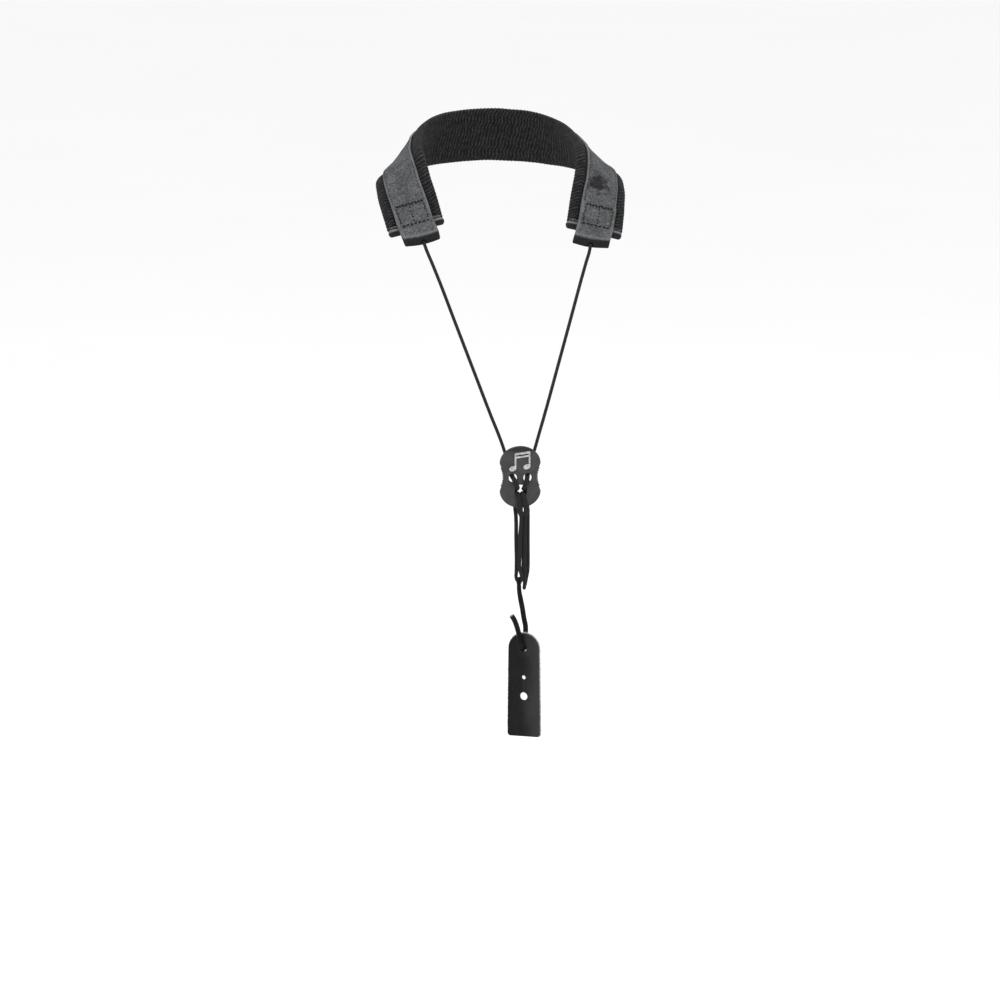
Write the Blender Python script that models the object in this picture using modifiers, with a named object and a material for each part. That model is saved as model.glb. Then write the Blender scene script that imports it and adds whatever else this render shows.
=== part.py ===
"""Padded neck strap with a cord adjuster and a leather thumb-rest tab, as it hangs round a neck.

Metres, +Z up. The wearer faces -Y, and +X is to the right of someone who looks at the wearer.
The origin is the middle of the pad's inner face, at the back of the neck.

The collar is a set of strips that follow one path from the wearer's right shoulder (-X) round the back of
the neck to the left one (+X). Along it, s is the length from the back of the neck, w runs across the strip,
from the edge at the neck to the outer edge, and n is the height above the pad's inner face.
"""

import math

import bmesh
import bpy
from mathutils import Matrix, Vector

GAP = 0.0003  # between pieces that touch on the real strap

# collar: the right-hand half of the path, as (point on the pad's inner face, direction of w)
COLLAR_HALF = [
    ((0.0000, 0.0000, 0.0000), (0.00, 0.30, -0.95)),
    ((0.0335, -0.0085, -0.0020), (0.18, 0.28, -0.93)),
    ((0.0555, -0.0305, -0.0070), (0.44, 0.24, -0.86)),
    ((0.0650, -0.0540, -0.0120), (0.65, 0.18, -0.76)),
    ((0.0690, -0.0695, -0.0170), (0.80, 0.12, -0.60)),
    ((0.0690, -0.0810, -0.0270), (0.86, 0.06, -0.52)),
    ((0.0665, -0.0910, -0.0405), (0.91, -0.02, -0.40)),
    ((0.0635, -0.1000, -0.0540), (0.95, -0.06, -0.30)),
    ((0.0592, -0.1107, -0.0695), (0.95, -0.22, -0.17)),
]
SAMPLES_PER_STATION = 24
RING_STEP = 0.0065  # length of collar between two rings of its strips
WEBBING_HALF_LENGTH = 0.1740
COLLAR_SLIP = 0.0025  # how far the collar has slipped round the neck, towards +X

# pad: a knit tube round a foam core, closed by a rolled hem at each end
PAD_WIDTH = 0.041
PAD_THICKNESS = 0.006
PAD_CORNER = 0.0026
SEAM_LINES = (-0.0125, -0.0042, 0.0042, 0.0125)  # w of the rows of points that all the strips share
COVER_WALL = 0.0008
PAD_SHORT_OF_END = 0.0164  # how much further the webbing reaches than the pad
HEM_LENGTH = 0.0038

# webbing: one layer along the pad, doubled over at its ends, where its fold makes a loop
WEBBING_WIDTH = SEAM_LINES[-1] - SEAM_LINES[0]
WEBBING_THICKNESS = 0.0014
FOLD_LENGTH = 0.0315
LOOP_LENGTH = 0.0064
LOOP_THICKNESS = 0.0056
LOOP_WALL = 0.0009

# cord and its fittings at the webbing's ends
CORD_RADIUS = 0.0012
CORD_STEP = 0.0055  # between two points of a cord's tube
FINE_STEP = 0.0016  # where a cord bends sharply
EYELET_BORE = CORD_RADIUS + GAP
EYELET_WALL = 0.0004
EYELET_FLANGE = 0.0022
EYELET_FLANGE_THICKNESS = 0.0004
STOP_RADIUS = 0.0014
STOP_LENGTH = 0.0024

# slider plate: a figure of eight that stands upright, with its middle at SLIDER_CENTRE
SLIDER_CENTRE = Vector((0.0, -0.1750, -0.2203))
PLATE_HALF_HEIGHT = 0.0220
LOBE_HALF_WIDTH = 0.0145
LOBE_Z = 0.0099  # height of the widest places above and below the middle
WAIST_HALF_WIDTH = 0.0118
PLATE_THICKNESS = 0.0032
PLATE_EDGE = 0.0010
UPPER_HOLE_RADIUS = 0.0030
UPPER_HOLE_X = 0.0052
UPPER_HOLE_Z = -0.0006
LOWER_HOLE_X = 0.00035
LOWER_HOLE_Z = -0.00965
LOWER_HOLE_HALF_WIDTH = 0.0040
LOWER_HOLE_HALF_HEIGHT = 0.00405
RIDGE_COUNT = 8
RIDGE_PITCH = 0.0018
RIDGE_RADIUS = 0.0007
EMBLEM_Z = 0.0113
EMBLEM_THICKNESS = 0.0004

# leather tab: local x across, z up and y to the back, with its origin at the middle of the lace hole
TAB_ORIGIN = Vector((0.0026, -0.1753, -0.3434))
TAB_TURN = math.radians(-26)
TAB_TOP = 0.0107
TAB_BOTTOM = -0.0636
TAB_TOP_RADIUS = 0.0112
TAB_BOTTOM_HALF_WIDTH = 0.0119
TAB_CORNER = 0.0024
LEATHER_THICKNESS = 0.0016
LINING_THICKNESS = 0.0006
LACE_HOLE_RADIUS = 0.0023
SLIT_HALF_WIDTH = 0.00025
SMALL_HOLE_Z = -0.0211
SMALL_HOLE_RADIUS = 0.00145
LARGE_HOLE_Z = -0.0347
LARGE_HOLE_RADIUS = 0.0028

# lace: a leather cord that ends in an eye round the cord's left bight
LACE_RADIUS = 0.00175
EYE_CENTRE = (-0.0007, 0.0000, -0.0751)
EYE_RADII = (0.0023, 0.0025)
EYE_TUBE_RADIUS = 0.0008

# Cord routes. Those of the neck cords are in the strap's frame, the others are measured from SLIDER_CENTRE.
NECK_CORD = [  # after its straight way out of the eyelet
    (0.0548, -0.1222, -0.0762),
    (0.0512, -0.1265, -0.0860),
    (0.0420, -0.1372, -0.1125),
    (0.0300, -0.1510, -0.1470),
    (0.0190, -0.1634, -0.1785),
    (0.0130, -0.1698, -0.1950),
    (0.0108, -0.1714, -0.2018),
    (0.0098, -0.1718, -0.2052),
]
WEAVES = {
    "cord_weave_left": [
        (-0.0097, 0.0032, 0.0147),
        (-0.0085, 0.0032, 0.0100),
        (-0.0068, 0.0032, 0.0045),
        (-0.0057, 0.0028, 0.0014),
        (-0.0052, 0.0010, -0.0003),
        (-0.0048, -0.0010, -0.0010),
        (-0.0042, -0.0029, -0.0026),
        (-0.0031, -0.0034, -0.0050),
        (-0.0023, -0.0029, -0.0068),
        (-0.0021, -0.0011, -0.0081),
        (-0.0022, 0.0012, -0.0090),
        (-0.0027, 0.0030, -0.0099),
        (-0.0044, 0.0036, -0.0118),
        (-0.0043, 0.0032, -0.0155),
    ],
    "cord_weave_right": [
        (0.0097, 0.0032, 0.0147),
        (0.0085, 0.0032, 0.0100),
        (0.0068, 0.0032, 0.0045),
        (0.0057, 0.0028, 0.0014),
        (0.0052, 0.0010, -0.0003),
        (0.0048, -0.0010, -0.0010),
        (0.0043, -0.0029, -0.0026),
        (0.0034, -0.0034, -0.0048),
        (0.0027, -0.0029, -0.0065),
        (0.0025, -0.0011, -0.0078),
        (0.0026, 0.0011, -0.0087),
        (0.0034, 0.0029, -0.0097),
        (0.0050, 0.0034, -0.0121),
        (0.0056, 0.0032, -0.0155),
    ],
}
HITCH = [
    (0.0007, -0.0011, -0.0296),
    (0.0006, -0.0013, -0.0277),
    (0.0003, -0.0024, -0.0260),
    (-0.0004, -0.0037, -0.0249),
    (-0.0008, -0.0042, -0.0232),
    (-0.0007, -0.0041, -0.0205),
    (-0.0009, -0.0037, -0.0178),
    (-0.0013, -0.0034, -0.0156),
    (-0.0017, -0.0032, -0.0138),
    (-0.0019, -0.0020, -0.0121),
    (-0.0019, 0.0000, -0.0115),
    (-0.0018, 0.0020, -0.0121),
    (-0.0016, 0.0033, -0.0138),
    (-0.0013, 0.0037, -0.0151),
    (-0.0007, 0.0039, -0.0162),
    (0.0001, 0.0039, -0.0166),
    (0.0008, 0.0039, -0.0162),
    (0.0014, 0.0037, -0.0151),
    (0.0017, 0.0033, -0.0138),
    (0.0017, 0.0020, -0.0121),
    (0.0017, 0.0000, -0.0115),
    (0.0018, -0.0020, -0.0121),
    (0.0020, -0.0032, -0.0138),
    (0.0025, -0.0033, -0.0156),
    (0.0030, -0.0037, -0.0178),
    (0.0036, -0.0042, -0.0203),
    (0.0041, -0.0040, -0.0225),
    (0.0041, -0.0030, -0.0246),
    (0.0037, -0.0012, -0.0264),
    (0.0034, 0.0003, -0.0281),
    (0.0034, 0.0007, -0.0296),
]
STRANDS = {
    "strand_left_back": [(-0.0043, 0.0032, -0.0159), (-0.0028, 0.0030, -0.0260), (-0.0024, 0.0012, -0.0655)],
    "strand_left_front": [
        (0.0007, -0.0011, -0.0300),
        (0.0003, -0.0013, -0.0360),
        (-0.0003, -0.0014, -0.0430),
        (-0.0004, -0.0014, -0.0655),
    ],
    "strand_right_front": [(0.0034, 0.0007, -0.0300), (0.0031, 0.0008, -0.0420), (0.0029, 0.0010, -0.0655)],
    "strand_right_back": [(0.0056, 0.0032, -0.0159), (0.0057, 0.0035, -0.0260), (0.0057, 0.0036, -0.0655)],
}
BIGHT_LEFT = [
    (-0.0024, 0.0012, -0.0659),
    (-0.0025, 0.0012, -0.0685),
    (-0.0027, 0.0012, -0.0715),
    (-0.0021, 0.0009, -0.0742),
    (-0.0007, 0.0000, -0.0754),
    (0.0007, -0.0009, -0.0742),
    (0.0010, -0.0014, -0.0715),
    (0.0003, -0.0014, -0.0685),
    (-0.0004, -0.0014, -0.0659),
]
BIGHT_RIGHT = [
    (0.0029, 0.0010, -0.0659),
    (0.0030, 0.0009, -0.0690),
    (0.0032, 0.0006, -0.0730),
    (0.0032, 0.0004, -0.0770),
    (0.0031, 0.0009, -0.0796),
    (0.0033, 0.0021, -0.0803),
    (0.0037, 0.0033, -0.0794),
    (0.0044, 0.0037, -0.0770),
    (0.0051, 0.0037, -0.0730),
    (0.0056, 0.0036, -0.0690),
    (0.0057, 0.0036, -0.0659),
]
LACE_TOP = [
    (-0.0008, 0.0000, -0.0776),
    (-0.0006, 0.0001, -0.0815),
    (0.0005, 0.0006, -0.0880),
    (0.0019, 0.0012, -0.0950),
    (0.0031, 0.0021, -0.1020),
]
LACE_ROUND_TAB = [  # in the tab's frame: down behind it, out through its hole, and up in front
    (0.0000, 0.0041, 0.0150),
    (0.0000, 0.0042, 0.0090),
    (0.0000, 0.0042, 0.0052),
    (0.0000, 0.0040, 0.0028),
    (0.0000, 0.0032, 0.0010),
    (0.0000, 0.0019, 0.0001),
    (0.0000, 0.0004, -0.0002),
    (-0.0001, -0.0011, 0.0000),
    (-0.0003, -0.0023, 0.0008),
    (-0.0007, -0.0031, 0.0022),
    (-0.0012, -0.0034, 0.0045),
    (-0.0020, -0.0034, 0.0080),
    (-0.0028, -0.0036, 0.0120),
    (-0.0041, -0.0041, 0.0170),
    (-0.0055, -0.0048, 0.0210),
    (-0.0069, -0.0064, 0.0242),
]

MATERIALS = {  # colour, roughness, metallic
    "knit_black": ((0.045, 0.046, 0.050), 0.92, 0.0),
    "foam": ((0.10, 0.10, 0.11), 0.95, 0.0),
    "webbing_grey": ((0.14, 0.145, 0.155), 0.85, 0.0),
    "cord_black": ((0.025, 0.025, 0.028), 0.75, 0.0),
    "eyelet_black": ((0.03, 0.03, 0.03), 0.35, 0.6),
    "plate_plastic": ((0.075, 0.077, 0.080), 0.55, 0.0),
    "emblem_silver": ((0.75, 0.75, 0.76), 0.30, 1.0),
    "leather_black": ((0.030, 0.030, 0.030), 0.45, 0.0),
    "suede_grey": ((0.30, 0.29, 0.28), 0.95, 0.0),
}


# ---------- scene and small helpers ----------


def clear_scene():
    """Removes everything that a new Blender file starts with."""
    for obj in list(bpy.data.objects):
        bpy.data.objects.remove(obj, do_unlink=True)


def collection(name, hidden=False):
    """A new collection in the scene."""
    made = bpy.data.collections.new(name)
    bpy.context.scene.collection.children.link(made)
    made.hide_render = hidden
    return made


def material(name):
    """The named material, made on its first use."""
    if name in bpy.data.materials:
        return bpy.data.materials[name]
    colour, roughness, metallic = MATERIALS[name]
    made = bpy.data.materials.new(name)
    made.use_nodes = True
    shader = made.node_tree.nodes["Principled BSDF"]
    shader.inputs["Base Color"].default_value = (*colour, 1.0)
    shader.inputs["Roughness"].default_value = roughness
    shader.inputs["Metallic"].default_value = metallic
    return made


def add_object(name, data, material_name):
    """An object of the strap, in its collection."""
    data.materials.append(material(material_name))
    obj = bpy.data.objects.new(name, data)
    STRAP.objects.link(obj)
    return obj


def add_cutter(name, data):
    """A helper shape for a Boolean, which isn't part of the strap."""
    obj = bpy.data.objects.new(name, data)
    obj.display_type = "WIRE"
    obj.hide_render = True
    CUTTERS.objects.link(obj)
    return obj


def boolean(obj, operation, other):
    """A Boolean modifier on obj with another object."""
    modifier = obj.modifiers.new(operation.lower() + "_" + other.name, "BOOLEAN")
    modifier.operation = operation
    modifier.object = other
    return modifier


def mesh_of_curve(curve, name):
    """A closed mesh with the shape of a curve's surface."""
    guide = bpy.data.objects.new(name + "_guide", curve)
    bpy.context.scene.collection.objects.link(guide)
    depsgraph = bpy.context.evaluated_depsgraph_get()
    mesh = bpy.data.meshes.new_from_object(guide.evaluated_get(depsgraph))
    bpy.data.objects.remove(guide)
    work = bmesh.new()
    work.from_mesh(mesh)
    bmesh.ops.remove_doubles(work, verts=work.verts, dist=1e-6)
    work.to_mesh(mesh)
    work.free()
    mesh.name = name
    return mesh


def cylinder_mesh(name, radius, length, segments=24):
    """A cylinder along z, with its middle at the origin."""
    work = bmesh.new()
    bmesh.ops.create_cone(
        work, cap_ends=True, segments=segments, radius1=radius, radius2=radius, depth=length
    )
    mesh = bpy.data.meshes.new(name)
    work.to_mesh(mesh)
    work.free()
    return mesh


def box_mesh(name, size):
    """A box with its middle at the origin."""
    work = bmesh.new()
    bmesh.ops.create_cube(work, size=1.0, matrix=Matrix.Diagonal((*size, 1.0)))
    mesh = bpy.data.meshes.new(name)
    work.to_mesh(mesh)
    work.free()
    return mesh


def axes_matrix(origin, x_axis, y_axis, z_axis):
    """The matrix that carries the world's axes to these, at this origin."""
    turn = Matrix((x_axis, y_axis, z_axis)).transposed()
    return Matrix.Translation(origin) @ turn.to_4x4()


def mirrored(route):
    """A route on the other side of the strap."""
    return [(-x, y, z) for x, y, z in route]


def offset_by(origin, route):
    """A route's points, measured from an origin."""
    return [origin + Vector(p) for p in route]


# ---------- smooth curves and tubes ----------


def catmull_rom(points, samples):
    """Points on a smooth curve through the given ones, with so many samples to each stretch."""
    ends = [points[0] * 2 - points[1], *points, points[-1] * 2 - points[-2]]
    curve = []
    for a, b, c, d in zip(ends, ends[1:], ends[2:], ends[3:]):
        square, cube = 2 * a - 5 * b + 4 * c - d, 3 * b - a - 3 * c + d
        for k in range(samples):
            t = k / samples
            curve.append(0.5 * (2 * b + (c - a) * t + square * t**2 + cube * t**3))
    return [*curve, points[-1]]


def even_points(route, step):
    """Points about a step apart along a smooth curve through the route."""
    fine = catmull_rom([Vector(p) for p in route], 20)
    lengths = [0.0]
    for a, b in zip(fine, fine[1:]):
        lengths.append(lengths[-1] + (b - a).length)
    count = max(3, round(lengths[-1] / step))
    points, k = [], 0
    for i in range(count + 1):
        want = lengths[-1] * i / count
        while k < len(fine) - 2 and lengths[k + 1] < want:
            k += 1
        share = (want - lengths[k]) / (lengths[k + 1] - lengths[k])
        points.append(fine[k].lerp(fine[k + 1], min(1.0, share)))
    return points


def tube_curve(name, points, radius, cyclic=False):
    """A curve whose bevel makes a tube with closed ends."""
    curve = bpy.data.curves.new(name, "CURVE")
    curve.dimensions = "3D"
    curve.bevel_depth = radius
    curve.bevel_resolution = 2
    curve.use_fill_caps = not cyclic
    spline = curve.splines.new("POLY")
    spline.points.add(len(points) - 1)
    for point, place in zip(spline.points, points):
        point.co = (*place, 1.0)
    spline.use_cyclic_u = cyclic
    return curve


def tube(name, route, radius, material_name, step=CORD_STEP):
    """A round cord along a route."""
    return add_object(name, tube_curve(name, even_points(route, step), radius), material_name)


def flat_curve(name, outlines, thickness):
    """A flat plate from an outer outline and those of its holes, in the curve's own x and y."""
    curve = bpy.data.curves.new(name, "CURVE")
    curve.dimensions = "2D"
    curve.fill_mode = "BOTH"
    curve.extrude = thickness / 2
    for outline in outlines:
        spline = curve.splines.new("POLY")
        spline.points.add(len(outline) - 1)
        for point, (x, y) in zip(spline.points, outline):
            point.co = (x, y, 0.0, 1.0)
        spline.use_cyclic_u = True
    return curve


def arc(x, y, radius, start, end, count):
    """Points on an arc from one angle to another, in degrees."""
    angles = [math.radians(start + (end - start) * k / (count - 1)) for k in range(count)]
    return [(x + radius * math.cos(a), y + radius * math.sin(a)) for a in angles]


def circle(x, y, radius, count=24):
    """A circle's points, without a double one at its start."""
    return arc(x, y, radius, 0, 360, count + 1)[:-1]


# ---------- the collar's path ----------


def collar_samples():
    """Closely spaced (s, point, w direction) along the whole collar, with s = 0 at the back of the neck."""
    right = [(Vector(p), Vector(w)) for p, w in COLLAR_HALF]
    left = [(Vector((-p.x, p.y, p.z)), Vector((-w.x, w.y, w.z))) for p, w in right[:0:-1]]
    stations = left + right
    points = catmull_rom([p for p, _ in stations], SAMPLES_PER_STATION)
    across = catmull_rom([w for _, w in stations], SAMPLES_PER_STATION)
    lengths = [0.0]
    for a, b in zip(points, points[1:]):
        lengths.append(lengths[-1] + (b - a).length)
    middle = lengths[-1] / 2
    return [(s - middle, p, w) for s, p, w in zip(lengths, points, across)]


COLLAR = collar_samples()


def collar_frame(s):
    """The collar's point at s, and its directions along, across and outwards."""
    k = 1
    while k < len(COLLAR) - 2 and COLLAR[k + 1][0] < s:
        k += 1
    (s0, p0, w0), (s1, p1, w1) = COLLAR[k], COLLAR[k + 1]
    share = (s - s0) / (s1 - s0)
    before, after = COLLAR[max(0, k - 2)][1], COLLAR[min(len(COLLAR) - 1, k + 3)][1]
    along = (after - before).normalized()
    across = w0.lerp(w1, share)
    across = (across - along * across.dot(along)).normalized()
    return p0.lerp(p1, share), along, across, along.cross(across)


def rounded_section(half_width, low, high, corner):
    """A rounded rectangle as (w, n) points, with the shared rows on its long sides."""
    across, top, bottom = half_width - corner, high - corner, low + corner
    return [
        *arc(across, top, corner, 0, 90, 3),
        *[(w, high) for w in SEAM_LINES[::-1]],
        *arc(-across, top, corner, 90, 180, 3),
        *arc(-across, bottom, corner, 180, 270, 3),
        *[(w, low) for w in SEAM_LINES],
        *arc(across, bottom, corner, 270, 360, 3),
    ]


def ring_places(s_from, s_to):
    """Where a strip's rings are: at its ends, and between them at steps that all the strips share."""
    first = math.floor(s_from / RING_STEP) + 1
    last = math.ceil(s_to / RING_STEP) - 1
    between = [k * RING_STEP for k in range(first, last + 1)]
    margin = 0.1 * RING_STEP
    return [s_from, *[s for s in between if s_from + margin < s < s_to - margin], s_to]


def strip_mesh(name, s_from, s_to, section, capped):
    """A sweep of a (w, n) section along the collar, as it twists."""
    work = bmesh.new()
    rings = []
    for s in ring_places(s_from, s_to):
        point, _, across, out = collar_frame(s)
        rings.append([work.verts.new(point + across * w + out * n) for w, n in section])
    for ring, after in zip(rings, rings[1:]):
        for i in range(len(section)):
            j = (i + 1) % len(section)
            if section[i][0] < section[j][0]:
                work.faces.new((ring[i], ring[j], after[j]))
                work.faces.new((ring[i], after[j], after[i]))
            else:
                work.faces.new((ring[i], ring[j], after[i]))
                work.faces.new((ring[j], after[j], after[i]))
    if capped:
        work.faces.new(rings[0][::-1])
        work.faces.new(rings[-1])
    bmesh.ops.recalc_face_normals(work, faces=work.faces)
    mesh = bpy.data.meshes.new(name)
    work.to_mesh(mesh)
    work.free()
    return mesh


def webbing_strip(name, s_from, s_to, low):
    """A solid strip of webbing along the collar."""
    high = low + WEBBING_THICKNESS
    section = [*[(w, high) for w in SEAM_LINES[::-1]], *[(w, low) for w in SEAM_LINES]]
    return add_object(name, strip_mesh(name, s_from, s_to, section, True), "webbing_grey")


def cross_bar_mesh(name, s, outline, half_width, capped):
    """An outline of (length along, n) points, drawn at s and swept across the collar."""
    point, along, across, out = collar_frame(s)
    work = bmesh.new()
    rings = [
        [work.verts.new(point + across * w + along * a + out * n) for a, n in outline]
        for w in (-half_width, half_width)
    ]
    for i in range(len(outline)):
        j = (i + 1) % len(outline)
        work.faces.new((rings[0][i], rings[0][j], rings[1][j], rings[1][i]))
    if capped:
        work.faces.new(rings[0][::-1])
        work.faces.new(rings[1])
    bmesh.ops.recalc_face_normals(work, faces=work.faces)
    mesh = bpy.data.meshes.new(name)
    work.to_mesh(mesh)
    work.free()
    return mesh


# ---------- pad and webbing ----------


def place_from_end(side, length):
    """The collar's s at some length before one of the webbing's ends."""
    return COLLAR_SLIP + side * (WEBBING_HALF_LENGTH - length)


def make_pad():
    """The foam core and the knit tube round it."""
    start, end = place_from_end(-1, PAD_SHORT_OF_END), place_from_end(1, PAD_SHORT_OF_END)
    inset = COVER_WALL + GAP
    core = rounded_section(PAD_WIDTH / 2 - inset, inset, PAD_THICKNESS - inset, PAD_CORNER - inset)
    add_object("neck_pad_core", strip_mesh("neck_pad_core", start + GAP, end - GAP, core, True), "foam")
    outside = rounded_section(PAD_WIDTH / 2, 0.0, PAD_THICKNESS, PAD_CORNER)
    tube_mesh = strip_mesh("neck_pad_cover", start, end, outside, False)
    cover = add_object("neck_pad_cover", tube_mesh, "knit_black")
    wall = cover.modifiers.new("wall", "SOLIDIFY")
    wall.thickness = COVER_WALL
    wall.offset = -1.0


def make_hem(name, side):
    """The rolled hem that closes one end of the cover."""
    start = side * GAP
    end = side * (GAP + HEM_LENGTH)
    outline = [(start, GAP), (end, GAP), (end, PAD_THICKNESS - GAP), (start, PAD_THICKNESS - GAP)]
    mesh = cross_bar_mesh(name, place_from_end(side, PAD_SHORT_OF_END), outline, PAD_WIDTH / 2, True)
    hem = add_object(name, mesh, "knit_black")
    rounding = hem.modifiers.new("rounding", "BEVEL")
    rounding.width = 0.0014
    rounding.segments = 2


def make_webbing():
    """The long strip of webbing, and its doubled ends."""
    low = PAD_THICKNESS + GAP
    start, end = place_from_end(-1, LOOP_LENGTH + GAP), place_from_end(1, LOOP_LENGTH + GAP)
    webbing_strip("webbing_main", start, end, low)
    for name, side in (("webbing_fold_left", -1), ("webbing_fold_right", 1)):
        near, far = sorted((place_from_end(side, LOOP_LENGTH + GAP), place_from_end(side, FOLD_LENGTH)))
        webbing_strip(name, near, far, low + WEBBING_THICKNESS + GAP)


def loop_frame(side):
    """The frame of one webbing end's tip: z is the cord's way out, and x runs across the webbing."""
    point, along, across, out = collar_frame(place_from_end(side, 0.0))
    middle = PAD_THICKNESS + GAP + WEBBING_THICKNESS + GAP / 2
    leave = along * side
    return axes_matrix(point + out * middle, across, leave.cross(across), leave)


def make_end_loop(side_name, side):
    """The loop in which one end of the webbing folds back, its eyelet, and the stop on the cord's end."""
    name = "end_loop_" + side_name
    radius = LOOP_THICKNESS / 2
    middle = PAD_THICKNESS + GAP + WEBBING_THICKNESS + GAP / 2
    nose = [(x - radius, middle + n) for x, n in arc(0, 0, radius, -90, 90, 9)]
    outline = [(-LOOP_LENGTH, middle - radius), *nose, (-LOOP_LENGTH, middle + radius)]
    outline = [(side * a, n) for a, n in outline]
    mesh = cross_bar_mesh(name, place_from_end(side, 0.0), outline, WEBBING_WIDTH / 2, False)
    loop = add_object(name, mesh, "webbing_grey")
    wall = loop.modifiers.new("wall", "SOLIDIFY")
    wall.thickness = LOOP_WALL
    wall.offset = -1.0
    frame = loop_frame(side)
    hole_radius = EYELET_BORE + EYELET_WALL + GAP
    cutter = add_cutter(name + "_hole", cylinder_mesh(name + "_hole", hole_radius, 2 * LOOP_WALL + 0.002))
    cutter.matrix_world = frame
    boolean(loop, "DIFFERENCE", cutter)
    make_eyelet("cord_eyelet_" + side_name, frame)
    stop_name = "cord_stop_" + side_name
    stop = add_object(stop_name, cylinder_mesh(stop_name, STOP_RADIUS, STOP_LENGTH), "eyelet_black")
    inside = -(LOOP_WALL + GAP + STOP_LENGTH / 2)
    stop.matrix_world = frame @ Matrix.Translation((0, 0, inside))


def make_eyelet(name, frame):
    """A flanged ring, turned about the cord's way out."""
    outer = EYELET_BORE + EYELET_WALL
    flange = EYELET_FLANGE_THICKNESS + GAP
    profile = [
        (EYELET_FLANGE, flange),
        (EYELET_FLANGE, GAP),
        (outer, GAP),
        (outer, -LOOP_WALL),
        (EYELET_BORE, -LOOP_WALL),
        (EYELET_BORE, flange),
    ]
    work = bmesh.new()
    verts = [work.verts.new((r, 0.0, z)) for r, z in profile]
    for a, b in zip(verts, verts[1:] + verts[:1]):
        work.edges.new((a, b))
    mesh = bpy.data.meshes.new(name)
    work.to_mesh(mesh)
    work.free()
    eyelet = add_object(name, mesh, "eyelet_black")
    turn = eyelet.modifiers.new("turn", "SCREW")
    turn.steps = 20
    turn.render_steps = 20
    turn.use_merge_vertices = True
    turn.merge_threshold = 1e-5
    eyelet.matrix_world = frame


# ---------- slider ----------


def plate_half_width(z):
    """The figure of eight's half width at a height: two half ellipses and a soft waist between them."""
    share = abs(z) / LOBE_Z
    if share < 1:
        return WAIST_HALF_WIDTH + (LOBE_HALF_WIDTH - WAIST_HALF_WIDTH) * (1.5 * share**2 - 0.5 * share**4)
    rise = (abs(z) - LOBE_Z) / (PLATE_HALF_HEIGHT - LOBE_Z)
    return LOBE_HALF_WIDTH * math.sqrt(max(0.0, 1 - rise**2))


def plate_outline():
    """The plate's outline as (x, z) points: round the top, down the left, round the bottom, up the right."""
    reach = PLATE_HALF_HEIGHT - LOBE_Z
    top = [LOBE_Z + reach * math.sin(math.radians(a)) for a in range(90, 0, -10)]
    side = [LOBE_Z * (1 - k / 6) for k in range(13)]
    heights = [*top, *side, *[-z for z in top[::-1]]]
    left = [(-plate_half_width(z), z) for z in heights]
    right = [(-x, z) for x, z in left[-2:0:-1]]
    return left + right


def lower_hole():
    """The rounded hole below the waist."""
    outline = []
    for k in range(24):
        a = 2 * math.pi * k / 24
        c, s = math.cos(a), math.sin(a)
        x = LOWER_HOLE_HALF_WIDTH * math.copysign(abs(c) ** 0.7, c)
        z = LOWER_HOLE_HALF_HEIGHT * math.copysign(abs(s) ** 0.7, s)
        outline.append((LOWER_HOLE_X + x, LOWER_HOLE_Z + z))
    return outline


def upright(origin, turn=0.0):
    """A frame whose local x and y become the world's x and z, so that a flat curve stands up."""
    return Matrix.Translation(origin) @ Matrix.Rotation(turn, 4, "Z") @ Matrix.Rotation(math.pi / 2, 4, "X")


def make_plate():
    """The moulded adjuster with its three holes and ribbed grips."""
    name = "slider_plate"
    mesh = mesh_of_curve(flat_curve(name + "_outline", [plate_outline()], PLATE_THICKNESS), name)
    plate = add_object(name, mesh, "plate_plastic")
    plate.matrix_world = upright(SLIDER_CENTRE)
    edge = plate.modifiers.new("edge", "BEVEL")
    edge.width = PLATE_EDGE
    edge.segments = 2
    edge.limit_method = "ANGLE"
    edge.angle_limit = math.radians(60)
    holes = {
        "hole_left": circle(-UPPER_HOLE_X, UPPER_HOLE_Z, UPPER_HOLE_RADIUS),
        "hole_right": circle(UPPER_HOLE_X, UPPER_HOLE_Z, UPPER_HOLE_RADIUS),
        "hole_lower": lower_hole(),
    }
    for hole_name, outline in holes.items():
        shape = mesh_of_curve(flat_curve(hole_name, [outline], 2 * PLATE_THICKNESS), hole_name)
        cutter = add_cutter(hole_name, shape)
        cutter.matrix_world = upright(SLIDER_CENTRE)
        boolean(plate, "DIFFERENCE", cutter)
    for side_name, side in (("left", -1), ("right", 1)):
        for k in range(RIDGE_COUNT):
            z = (k - (RIDGE_COUNT - 1) / 2) * RIDGE_PITCH
            x = side * (plate_half_width(z) - 0.45 * RIDGE_RADIUS)
            ridge_name = f"ridge_{side_name}_{k}"
            ridge = add_cutter(ridge_name, cylinder_mesh(ridge_name, RIDGE_RADIUS, PLATE_THICKNESS * 0.7, 10))
            ridge.matrix_world = upright(SLIDER_CENTRE + Vector((x, 0, z)))
            boolean(plate, "UNION", ridge)


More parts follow.
